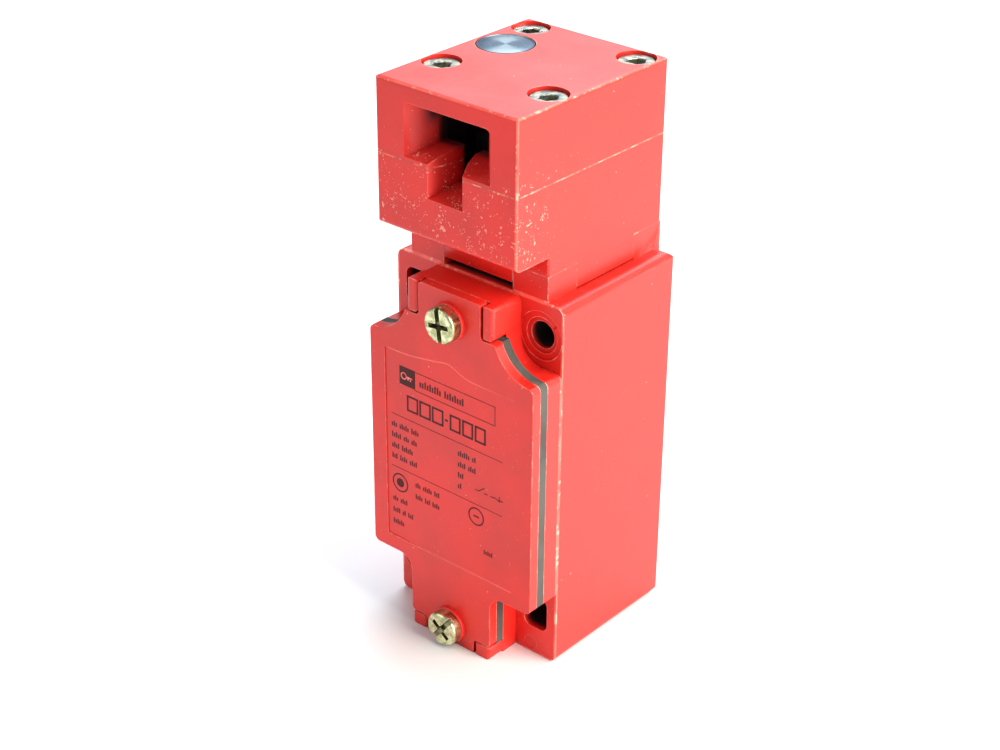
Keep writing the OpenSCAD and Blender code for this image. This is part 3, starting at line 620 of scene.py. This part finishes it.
def contact_metal():
    """Copper alloy strip, tarnished towards brown, silver on the contact tips."""
    t, skin = material("contact metal")
    place = t.object_place()
    grain = t.group("Surface grain", Scale=1800.0, Fine=0.4, Place=place)
    lines = t.group("Scratches", Scale=240.0, Width=0.03, Amount=0.6, Place=place)
    split = t.add("SeparateXYZ")
    t.put(split.inputs[0], place)
    side = t.math("ABSOLUTE", split.outputs["X"])
    tip = t.math("MULTIPLY", t.step(side, 6.2 * MM, 6.5 * MM), t.step(side, 9.0 * MM, 8.7 * MM))
    colour = t.mix(t.step(grain.outputs["Tone"], 0.3, 0.7), (0.55, 0.27, 0.14, 1), (0.8, 0.48, 0.3, 1))
    colour = t.mix(t.math("MULTIPLY", tip, 0.85), colour, (0.85, 0.84, 0.8, 1))
    t.put(skin["Base Color"], colour)
    skin["Metallic"].default_value = 1.0
    t.put(skin["Roughness"], t.step(grain.outputs["Tone"], 0.3, 0.7, 0.25, 0.4))
    height = t.math("SUBTRACT", grain.outputs["Height"], lines.outputs[0])
    t.put(skin["Normal"], t.bump(height, 0.008 * MM, 0.5))


def ink():
    """Black printing ink, thin and a little broken."""
    t, skin = material("printing ink")
    place = t.object_place()
    grain = t.group("Surface grain", Scale=1900.0, Fine=0.8, Place=place)
    paint = looks().paint
    thin = t.step(grain.outputs["Height"], 0.5, 0.8)
    colour = t.mix(t.math("MULTIPLY", thin, 0.2), [*looks().ink, 1], [c * 0.35 for c in paint] + [1])
    t.put(skin["Base Color"], colour)
    skin["Roughness"].default_value = 0.7
    skin["Specular IOR Level"].default_value = 0.3
    t.put(skin["Normal"], t.bump(grain.outputs["Height"], 0.01 * MM, 0.4))


def floor_paint():
    """Pale matt studio floor with a barely visible mottle."""
    t, skin = material("studio floor")
    place = t.object_place()
    cloud = t.noise(place, 14.0, 4.0, 0.5)
    t.put(skin["Base Color"], t.mix(cloud, (0.72, 0.73, 0.74, 1), (0.8, 0.8, 0.8, 1)))
    t.put(skin["Roughness"], t.step(cloud, 0.3, 0.7, 0.5, 0.62))
    t.put(skin["Normal"], t.bump(t.noise(place, 900.0, 2.0, 0.5), 0.02 * MM, 0.3))


def build_materials():
    build_groups()
    red_paint()
    rubber()
    plated("yellow zinc plate", (0.76, 0.75, 0.46), (0.36, 0.37, 0.18), 0.2, 0.9)
    plated("clear zinc plate", (0.36, 0.37, 0.28), (0.12, 0.15, 0.15), 0.22, 0.4, (0.5, 0.45, 0.25))
    turned_steel()
    spring_steel()
    moulded("black plastic", (0.018, 0.018, 0.02), 0.42)
    moulded("pale plastic", (0.62, 0.6, 0.54), 0.45)
    contact_metal()
    ink()
    floor_paint()


# The finish that each of the record's material slots takes
FINISH = {
    "red_paint": "red paint", "gasket_rubber": "gasket rubber", "plated_screw": "yellow zinc plate",
    "zinc_screw": "clear zinc plate", "turned_steel": "turned steel", "spring_steel": "spring steel",
    "black_plastic": "black plastic", "pale_plastic": "pale plastic", "contact_metal": "contact metal",
}


# ---------------------------------------------------------------- meshes


def owner(node):
    """The body that a CAD node belongs to."""
    return frame["nodes"][node]["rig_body"]


def slot_of(node):
    """The record's material slot for a CAD node."""
    return next(s["material_slot"] for s in frame["record"]["subparts"] if s["node"] == node)


def finish_piece(piece, body, slot, finish=None, stands_for=()):
    """Gives a new piece the material of its slot, and its body where one is given: a spring between two
    bodies is given none.
    """
    piece.data.materials.clear()
    piece.data.materials.append(MADE[finish or FINISH[slot]])
    if body:
        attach(piece, body)
    if stands_for:
        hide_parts(*stands_for)
    return piece


def new_piece(name, points, faces):
    """A mesh object at the origin from points in metres, shaded smooth across shallow angles."""
    mesh = bpy.data.meshes.new(name)
    mesh.from_pydata(np.asarray(points, float).tolist(), [], [list(f) for f in faces])
    mesh.validate()
    piece = bpy.data.objects.new(name, mesh)
    bpy.context.scene.collection.objects.link(piece)
    smooth(mesh)
    return piece


def smooth(mesh, angle=32):
    """Shades faces smooth and marks the edges sharp where they turn by more than the angle."""
    mesh.shade_smooth()
    mesh.set_sharp_from_angle(angle=math.radians(angle))


def grid_faces(rows, columns, wrap_rows=False, wrap_columns=False):
    """Quads of a rows by columns grid of points, joined round where asked."""
    last_row = rows if wrap_rows else rows - 1
    last_column = columns if wrap_columns else columns - 1
    r, c = np.meshgrid(np.arange(last_row), np.arange(last_column), indexing="ij")
    r2, c2 = (r + 1) % rows, (c + 1) % columns
    return np.stack([r * columns + c, r * columns + c2, r2 * columns + c2, r2 * columns + c],
                    -1).reshape(-1, 4)


def tube(centres, normals, others, profile, size=None):
    """A closed tube: point(t, s) = centre(t) + size(t) * (normal(t) * u(s) + other(t) * v(s)),
    with flat ends. The profile is a closed loop of (u, v) rows."""
    spread = np.ones(len(centres)) if size is None else size
    u, v = (np.outer(spread, profile[:, i])[:, :, None] for i in (0, 1))
    points = centres[:, None, :] + normals[:, None, :] * u + others[:, None, :] * v
    rows, columns = points.shape[:2]
    faces = grid_faces(rows, columns, wrap_columns=True).tolist()
    faces.append(list(range(columns))[::-1])
    faces.append([(rows - 1) * columns + i for i in range(columns)])
    return points.reshape(-1, 3), faces


def helix(middle, radius, low, high, turns, ends=0.0, steps=28):
    """Centres, normals and binormals of a helix: angle = 2 pi turns t, height from low to high as
    t - ends sin(2 pi t) / 2 pi, so that ends near 1 close up the first and last turns."""
    t = np.linspace(0, 1, int(turns * steps) + 1)
    angle = 2 * math.pi * turns * t
    rise = t - ends * np.sin(2 * math.pi * t) / (2 * math.pi)
    normals = np.stack([np.cos(angle), np.sin(angle), np.zeros_like(t)], 1)
    centres = normals * radius
    centres[:, 0] += middle[0]
    centres[:, 1] += middle[1]
    centres[:, 2] = low + (high - low) * rise
    along = np.gradient(centres, axis=0)
    along /= np.linalg.norm(along, axis=1)[:, None]
    return centres, normals, np.cross(along, normals), t


def circle_profile(radius, sides=10):
    """A closed loop: (radius cos a, radius sin a)."""
    a = np.linspace(0, 2 * math.pi, sides, endpoint=False)
    return np.stack([np.cos(a), np.sin(a)], 1) * radius


def revolved(profile, middle, sides=96):
    """A closed turned shape: point(i, a) = middle + (r(i) cos a, r(i) sin a, z(i)), with flat ends."""
    a = np.linspace(0, 2 * math.pi, sides, endpoint=False)
    r, z = profile[:, 0][:, None], profile[:, 1][:, None]
    points = np.stack([middle[0] + r * np.cos(a), middle[1] + r * np.sin(a),
                       z + 0 * a], -1)
    rows = len(profile)
    faces = grid_faces(rows, sides, wrap_columns=True).tolist()
    faces.append(list(range(sides))[::-1])
    faces.append([(rows - 1) * sides + i for i in range(sides)])
    return points.reshape(-1, 3), faces


def joined(parts):
    """Several (points, faces) meshes as one."""
    points, faces, start = [], [], 0
    for some, these in parts:
        points.append(some)
        faces += [[start + i for i in face] for face in these]
        start += len(some)
    return np.concatenate(points), faces


def outward(piece):
    """Turns a closed mesh's faces outwards."""
    bm = bmesh.new()
    bm.from_mesh(piece.data)
    bmesh.ops.recalc_face_normals(bm, faces=bm.faces)
    bm.to_mesh(piece.data)
    bm.free()
    return piece


def cast_copy(node, name, *passes, segments=3, weld=0.001 * MM):
    """A copy of a CAD node, welded, with its flat triangles joined. Each pass is a radius and a test
    that chooses the convex edges it rounds."""
    bm = bmesh.new()
    bm.from_mesh(frame["nodes"][node].data)
    bmesh.ops.remove_doubles(bm, verts=bm.verts, dist=weld)
    bmesh.ops.dissolve_degenerate(bm, dist=weld, edges=bm.edges)
    bmesh.ops.dissolve_limit(bm, angle_limit=math.radians(0.6), verts=bm.verts, edges=bm.edges)
    for radius, chosen in passes:
        edges = [e for e in bm.edges if len(e.link_faces) == 2 and e.is_convex
                 and e.calc_face_angle(0) > math.radians(35) and chosen(e)]
        bmesh.ops.bevel(bm, geom=edges, offset=radius, offset_type="OFFSET", segments=segments,
                        profile=0.5, affect="EDGES", clamp_overlap=True, miter_outer="ARC",
                        loop_slide=True)
    mesh = bpy.data.meshes.new(name)
    bmesh.ops.recalc_face_normals(bm, faces=bm.faces)
    bm.to_mesh(mesh)
    bm.free()
    piece = bpy.data.objects.new(name, mesh)
    bpy.context.scene.collection.objects.link(piece)
    smooth(mesh)
    flatten_big_faces(piece)
    return finish_piece(piece, owner(node), slot_of(node), stands_for=[node])


def flatten_big_faces(piece):
    """Weights each corner's normal by its faces' areas, so that broad faces stay flat in the light and
    only the rounded edges between them turn."""
    weigh = piece.modifiers.new("weigh", "WEIGHTED_NORMAL")
    weigh.mode, weigh.weight, weigh.keep_sharp = "FACE_AREA", 50, True
    bpy.context.view_layer.update()
    graph = bpy.context.evaluated_depsgraph_get()
    weighed = bpy.data.meshes.new_from_object(piece.evaluated_get(graph), depsgraph=graph)
    piece.modifiers.clear()
    plain, name = piece.data, piece.data.name
    piece.data = weighed
    bpy.data.meshes.remove(plain)
    weighed.name = name


def mid(edge):
    return (edge.verts[0].co + edge.verts[1].co) / 2


def dress(nodes, finish=None):
    """Gives CAD nodes their materials, with their meshes left as they are."""
    for node in nodes:
        slots = frame["nodes"][node].data.materials
        slots.clear()
        slots.append(MADE[finish or FINISH[slot_of(node)]])


def is_level(edge, axis, value, reach=0.02 * MM):
    """True where both ends of an edge lie on the plane axis = value."""
    return all(abs(v.co[axis] - value) < reach for v in edge.verts)


# ---------------------------------------------------------------- operators


# Centres of the fixing holes, in X and Z
FIXING_HOLES = [(x * 15 * MM, (9.6 + 60 * row) * MM) for x in (-1, 1) for row in (0, 1)]


class SWITCH_OT_casing(bpy.types.Operator):
    """Round the outer edges of the die-cast casing"""

    bl_idname = "switch.casing"
    bl_label = "Casing"

    def execute(self, context):
        rim = node_box("cover_gasket")[1][1]

        def small(edge):
            """Edges of holes, seats, the chamber and the cable entry."""
            middle = mid(edge)
            near_hole = any(math.hypot(middle.x - x, middle.z - z) < 5.1 * MM for x, z in FIXING_HOLES)
            inside = (abs(middle.x) < 17.3 * MM and 17 * MM < middle.z < 61.5 * MM
                      and middle.y < 13 * MM and middle.y > rim - 0.1 * MM)
            entry = middle.z < 0.5 * MM and middle.xy.length < 11 * MM
            return near_hole or inside or entry

        def lip(edge):
            return is_level(edge, 1, rim)

        size = looks().edge_round
        cast_copy("casing", "casing_cast", (size, lambda e: not small(e) and not lip(e)),
                  (size * 0.4, lambda e: lip(e) and not small(e)))
        return {"FINISHED"}


def cover_face():
    """Depth of the cover plate's front face: the gasket's front and the plate's thickness."""
    return node_box("cover_gasket")[0][1] - 2.1 * MM


class SWITCH_OT_cover(bpy.types.Operator):
    """Round the outer edges of the cover plate, its screw seats and its label panel"""

    bl_idname = "switch.cover"
    bl_label = "Cover"

    def execute(self, context):
        face, seat = cover_face(), node_box("cover")[0][1]

        def panel(edge):
            middle = mid(edge)
            return abs(middle.x) < 16.6 * MM and 18 * MM < middle.z < 62.5 * MM

        cast_copy("cover", "cover_cast",
                  (looks().cover_round, lambda e: is_level(e, 1, face) and not panel(e)),
                  (0.3 * MM, lambda e: is_level(e, 1, seat)),
                  (0.09 * MM, lambda e: is_level(e, 1, face) and panel(e)), segments=4)
        return {"FINISHED"}


class SWITCH_OT_head(bpy.types.Operator):
    """Round the outer edges of the head's two halves"""

    bl_idname = "switch.head"
    bl_label = "Head"

    def execute(self, context):
        split = node_box("head_upper_housing")[0][2]
        size = looks().edge_round

        def seam(edge):
            return is_level(edge, 2, split)

        def outer(edge):
            middle = mid(edge)
            return middle.y < -19 * MM or middle.z > 113 * MM or abs(middle.x) > 16 * MM

        def chosen(edge):
            return outer(edge) and not seam(edge)

        for node in ("head_lower_housing", "head_upper_housing"):
            cast_copy(node, node + "_cast", (size, chosen),
                      (size * 0.25, lambda e: outer(e) and seam(e)), weld=0.02 * MM)
        return {"FINISHED"}


class SWITCH_OT_screws(bpy.types.Operator):
    """Break the edges of the screws' heads, slots and sockets"""

    bl_idname = "switch.screws"
    bl_label = "Screws"

    def execute(self, context):
        for node in ("cover_screw_top", "cover_screw_bottom"):
            front = node_box(node)[0][1]
            cast_copy(node, node + "_worn", (0.12 * MM, lambda e: mid(e).y < front + 1.2 * MM))
        top = node_box("head_screws")[1][2]
        cast_copy("head_screws", "head_screws_worn",
                  (0.3 * MM, lambda e: is_level(e, 2, top)), segments=3)
        return {"FINISHED"}


class SWITCH_OT_plug(bpy.types.Operator):
    """Turn the steel plug in the head's top"""

    bl_idname = "switch.plug"
    bl_label = "Plug"

    def execute(self, context):
        low, high = node_box("top_plug")
        middle, radius = (low + high) / 2, (high[0] - low[0]) / 2
        # Radius and height: a hair of a dish inside a thin turned rim, then the chamfer and the wall
        profile = np.array([
            (0.03 * MM, high[2] - 0.06 * MM), (radius * 0.5, high[2] - 0.05 * MM),
            (radius * 0.86, high[2] - 0.04 * MM), (radius * 0.9, high[2] - 0.12 * MM),
            (radius * 0.92, high[2] - 0.12 * MM), (radius * 0.935, high[2] - 0.01 * MM),
            (radius * 0.965, high[2]), (radius, high[2] - 0.18 * MM), (radius, low[2]),
            (0.03 * MM, low[2])])
        plug = new_piece("turned_plug", *revolved(profile, middle))
        finish_piece(outward(plug), owner("top_plug"), "turned_steel", stands_for=["top_plug"])
        return {"FINISHED"}


class SWITCH_OT_springs(bpy.types.Operator):
    """Wind the coil springs of the plunger, the carrier, the pin and the bridges"""

    bl_idname = "switch.springs"
    bl_label = "Springs"

    def execute(self, context):
        turns = looks().spring_turns
        self.wind("plunger_spring", 0.45 * MM, turns, "plunger")
        self.wind("carrier_spring", 0.2 * MM, turns + 4, "carrier")
        self.wind("retention_spring", 0.25 * MM, turns)
        low, high = node_box("bridge_springs")
        gap = 3.2 * MM
        parts = [self.coil(low, high, 0.2 * MM, turns, z, z + gap) for z in (low[2], high[2] - gap)]
        self.place("bridge_springs", joined(parts), owner("bridge_springs"))
        return {"FINISHED"}

    def coil(self, low, high, wire, turns, bottom, top):
        middle, radius = (low + high) / 2, (high[0] - low[0]) / 2 - wire
        centres, normals, others, _ = helix(middle, radius, bottom + wire, top - wire, turns, 0.7)
        return tube(centres, normals, others, circle_profile(wire))

    def wind(self, node, wire, turns, far_body=None):
        low, high = node_box(node)
        piece = self.place(node, self.coil(low, high, wire, turns, low[2], high[2]),
                           None if far_body else owner(node))
        if far_body:
            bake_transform(piece)

    def place(self, node, shape, body):
        piece = outward(new_piece(node + "_coil", *shape))
        return finish_piece(piece, body, slot_of(node), stands_for=[node])


class SWITCH_OT_thread(bpy.types.Operator):
    """Cut the thread of the cable entry"""

    bl_idname = "switch.thread"
    bl_label = "Cable entry thread"

    def execute(self, context):
        pitch, bore, depth = looks().thread_pitch, 10 * MM, 17.3 * MM
        turns = (depth - 2 * pitch) / pitch
        centres, normals, others, t = helix((0, 0), bore, 0.7 * pitch, depth - 1.3 * pitch, turns)
        # Ridge that rises inwards from the bore, fading out over half a turn at each end
        ridge = np.array([(0.04, -0.44), (-0.52, -0.07), (-0.52, 0.07), (0.04, 0.44)]) * pitch
        fade = np.clip(np.minimum(t, 1 - t) * turns / 0.5, 0.02, 1)
        thread = new_piece("entry_thread", *tube(centres, normals, others, ridge, fade))
        finish_piece(outward(thread), "housing", "red_paint")
        return {"FINISHED"}


class SWITCH_OT_marks(bpy.types.Operator):
    """Print plain marks on the cover's label panel: boxes, rules, rows of blocks, contact signs"""

    bl_idname = "switch.marks"
    bl_label = "Printed marks"

    def execute(self, context):
        # Framed line at the top, with the badge at its left end
        strokes = [self.line(-12.7, 55, -8.8, 55, 3.9)]
        strokes += self.frame(-8.8, 52.9, 11.1, 56.8, 0.14)
        strokes += self.words(-7.6, 54.8, 1.5, (9, 8), 0.62)
        # Title in open blocks
        for left, width in ((-10.7, 2.5), (-7.5, 2.5), (-4.3, 2.5), (0.2, 2.3), (3.3, 2.3), (6.4, 2.3)):
            strokes += self.frame(left, 48, left + width, 51, 0.42)
        strokes += [self.line(-1.2, 49.5, -0.5, 49.5, 0.42)]
        strokes += [self.line(-15, 45.9, 13, 45.9, 0.12), self.line(-15.2, 34.3, 13, 34.3, 0.12)]
        for row, (left_words, right_words) in enumerate((
                ((3, 5, 4), (6, 2)), ((5, 3, 3), (4, 4)), ((4, 6), (3,)), ((3, 4, 4), (2,)))):
            z = 43.7 - 2.35 * row
            strokes += self.words(-15, z, 1.15, left_words, 0.5)
            strokes += self.words(2, z, 1.15, right_words, 0.5)
        for row, words in enumerate(((3, 5, 3), (4, 3, 4), (3, 4), (4, 2, 3), (6,))):
            strokes += self.words(-9 + (0 if row < 2 else -6), 32.2 - 2.6 * row, 1.1, words, 0.48)
        strokes += self.words(8.5, 24.6, 1.0, (5,), 0.46)
        # Approval-style rings without any sign in them
        strokes += [self.ring(-13, 31, 1.9, 0.3), self.ring(-13, 31, 0.5, 0.9)]
        strokes += [self.ring(6.6, 31.6, 1.8, 0.3), self.line(5.9, 31.6, 7.3, 31.6, 0.35)]
        # Signs of the two contacts: an open and a closed switch
        for left in (6.3, 10.1):
            strokes += [self.line(left, 37.5, left + 0.9, 37.5, 0.2),
                        self.line(left + 2.2, 37.5, left + 3.1, 37.5, 0.2)]
        strokes += [self.line(7.2, 37.5, 8.6, 38.6, 0.2), self.line(11.0, 37.7, 12.5, 37.2, 0.2),
                    self.line(12.3, 37.5, 12.3, 38.3, 0.2)]
        ink = outward(new_piece("printed_marks", *joined(strokes)))
        finish_piece(ink, "cover", "black_plastic", "printing ink")
        # A key on the badge, in the coat's own colour
        proud = looks().ink_thickness * 0.6
        badge = [self.ring(-11.6, 55, 0.65, 0.28, proud), self.line(-11, 55, -9.4, 55, 0.3, proud),
                 self.line(-9.9, 54.9, -9.9, 54.3, 0.28, proud),
                 self.line(-10.5, 54.9, -10.5, 54.45, 0.28, proud)]
        finish_piece(outward(new_piece("badge_key", *joined(badge))), "cover", "red_paint")
        return {"FINISHED"}

    def on_panel(self, x, z, lift):
        """Places (x, z) in millimetres on the label panel's leaning floor, lift off it in metres."""
        slope = 0.2 / 31.9
        y = cover_face() + (15.6 - x) * slope * MM - lift
        return np.stack([x * MM, y, z * MM], -1)

    def stroke(self, x, z, width, closed, proud):
        """A flat ribbon along the path (x, z): each point shifted half the width to both sides along
        the path's normal, with a front and a back face."""
        if closed:
            ahead = np.stack([np.roll(x, -1) - np.roll(x, 1), np.roll(z, -1) - np.roll(z, 1)], -1)
        else:
            ahead = np.stack([np.gradient(x), np.gradient(z)], -1)
        ahead /= np.linalg.norm(ahead, axis=1)[:, None]
        side = np.stack([-ahead[:, 1], ahead[:, 0]], -1) * width / 2
        top, bottom = looks().ink_thickness + proud, -0.01 * MM
        corners = [self.on_panel(x + sign * side[:, 0], z + sign * side[:, 1], lift + 0 * x)
                   for sign, lift in ((1, top), (-1, top), (-1, bottom), (1, bottom))]
        points = np.stack(corners, 1)
        rows = len(x)
        faces = grid_faces(rows, 4, wrap_rows=closed, wrap_columns=True).tolist()
        if not closed:
            faces += [[3, 2, 1, 0], [(rows - 1) * 4 + i for i in range(4)]]
        return points.reshape(-1, 3), faces

    def line(self, x0, z0, x1, z1, width, proud=0.0):
        return self.stroke(np.linspace(x0, x1, 2), np.linspace(z0, z1, 2), width, False, proud)

    def ring(self, x, z, radius, width, proud=0.0):
        a = np.linspace(0, 2 * math.pi, 32, endpoint=False)
        return self.stroke(x + radius * np.cos(a), z + radius * np.sin(a), width, True, proud)

    def frame(self, x0, z0, x1, z1, width):
        half = width / 2
        return [self.line(x0 - half, z0, x1 + half, z0, width),
                self.line(x0 - half, z1, x1 + half, z1, width),
                self.line(x0, z0, x0, z1, width), self.line(x1, z0, x1, z1, width)]

    def words(self, x, z, height, counts, width):
        """Rows of small blocks in groups, their heights varied by a fixed wave."""
        made = []
        for count in counts:
            for i in range(count):
                tall = height * (0.72 + 0.28 * (math.sin(3.1 * x + 1.7 * i + z) > 0))
                low = z - height / 2
                made.append(self.line(x + width * 0.36, low, x + width * 0.36, low + tall, width * 0.62))
                x += width
            x += width * 1.1
        return made


class SWITCH_OT_block(bpy.types.Operator):
    """Break the edges of the contact block's base and front"""

    bl_idname = "switch.block"
    bl_label = "Contact block"

    def execute(self, context):
        def anywhere(edge):
            return edge.calc_length() > 0.6 * MM

        for node in ("contact_block_base", "contact_block_front"):
            cast_copy(node, node + "_moulded", (0.2 * MM, anywhere), segments=2)
        return {"FINISHED"}


class SWITCH_OT_small_parts(bpy.types.Operator):
    """Give every other CAD node its finish"""

    bl_idname = "switch.small_parts"
    bl_label = "Small parts"

    def execute(self, context):
        dress(frame["nodes"])
        return {"FINISHED"}


# The view's direction and distance, found from the object's own edges
CAMERA_PLACE = (216.5 * MM, -262.8 * MM, 234.46 * MM)
CAMERA_AZIMUTH = 40.581
CAMERA_ELEVATION = 28.516
CAMERA_ROLL = 0.5
CAMERA_LENS = 72.26


class SWITCH_OT_stage(bpy.types.Operator):
    """Set up the pale floor, the soft lights and the camera"""

    bl_idname = "switch.stage"
    bl_label = "Stage"

    def execute(self, context):
        scene = context.scene
        self.floor()
        for name, place, size, watts, colour in (
                ("key", (0.55, 0.12, 0.42), 0.5, 8.2, (1, 0.93, 0.85)),
                ("top", (-0.15, 0.5, 0.75), 0.9, 12, (0.86, 0.94, 1)),
                ("front", (-0.6, -0.75, 0.5), 0.8, 3.5, (1, 0.98, 0.94)),
                ("low", (0.38, 0.0, 0.07), 0.25, 1.5, (1, 0.93, 0.85))):
            self.lamp(name, place, size, watts, colour)
        world = bpy.data.worlds.new("soft studio")
        world.use_nodes = True
        sky = world.node_tree.nodes["Background"].inputs
        sky["Color"].default_value = (0.85, 0.92, 1, 1)
        sky["Strength"].default_value = 0.4
        scene.world = world
        scene.view_settings.view_transform = "Standard"
        self.camera(scene)
        return {"FINISHED"}

    def floor(self):
        side = 1.6
        points = [(-side, -side, 0), (side, -side, 0), (side, side, 0), (-side, side, 0)]
        mesh = bpy.data.meshes.new("studio_floor")
        mesh.from_pydata(points, [], [(0, 1, 2, 3)])
        mesh.materials.append(MADE["studio floor"])
        floor = bpy.data.objects.new("studio_floor", mesh)
        bpy.context.scene.collection.objects.link(floor)

    def lamp(self, name, place, size, watts, colour):
        light = bpy.data.lights.new(name, "AREA")
        light.size, light.energy, light.color = size, watts, colour
        lamp = bpy.data.objects.new(name, light)
        lamp.location = place
        lamp.rotation_mode = "QUATERNION"
        aim = Vector((0, 0, 0.06)) - lamp.location
        lamp.rotation_quaternion = aim.to_track_quat("-Z", "Y")
        bpy.context.scene.collection.objects.link(lamp)

    def camera(self, scene):
        azimuth, elevation = math.radians(CAMERA_AZIMUTH), math.radians(CAMERA_ELEVATION)
        ahead = Vector((-math.sin(azimuth) * math.cos(elevation),
                        math.cos(azimuth) * math.cos(elevation), -math.sin(elevation)))
        right = Vector((math.cos(azimuth), math.sin(azimuth), 0))
        up = right.cross(ahead)
        turn = math.radians(CAMERA_ROLL)
        across = right * math.cos(turn) + up * math.sin(turn)
        above = up * math.cos(turn) - right * math.sin(turn)
        data = bpy.data.cameras.new("camera")
        data.lens, data.sensor_width = CAMERA_LENS, 36
        data.clip_start, data.clip_end = 0.01, 20
        camera = bpy.data.objects.new("camera", data)
        camera.rotation_mode = "QUATERNION"
        camera.rotation_quaternion = Matrix((across, above, -ahead)).transposed().to_quaternion()
        camera.location = CAMERA_PLACE
        scene.collection.objects.link(camera)
        scene.camera = camera


STEPS = (SWITCH_OT_small_parts, SWITCH_OT_casing, SWITCH_OT_cover, SWITCH_OT_head, SWITCH_OT_screws,
         SWITCH_OT_plug, SWITCH_OT_springs, SWITCH_OT_thread, SWITCH_OT_marks, SWITCH_OT_block,
         SWITCH_OT_stage)


class SWITCH_PT_panel(bpy.types.Panel):
    """Lists the steps that build the limit switch"""

    bl_idname = "SWITCH_PT_panel"
    bl_label = "Limit switch"
    bl_space_type = "VIEW_3D"
    bl_region_type = "UI"
    bl_category = "Limit switch"

    def draw(self, context):
        for prop in SwitchLooks.__annotations__:
            self.layout.prop(context.scene.switch_looks, prop)
        for step in STEPS:
            self.layout.operator(step.bl_idname)


CLASSES = (SwitchLooks, *STEPS, SWITCH_PT_panel)


def register():
    for made in CLASSES:
        bpy.utils.register_class(made)
    bpy.types.Scene.switch_looks = PointerProperty(type=SwitchLooks)


def unregister():
    del bpy.types.Scene.switch_looks
    for made in reversed(CLASSES):
        bpy.utils.unregister_class(made)


def main():
    register()
    build_materials()
    for step in STEPS:
        group, name = step.bl_idname.split(".")
        getattr(getattr(bpy.ops, group), name)()


if __name__ == "__main__":
    main()
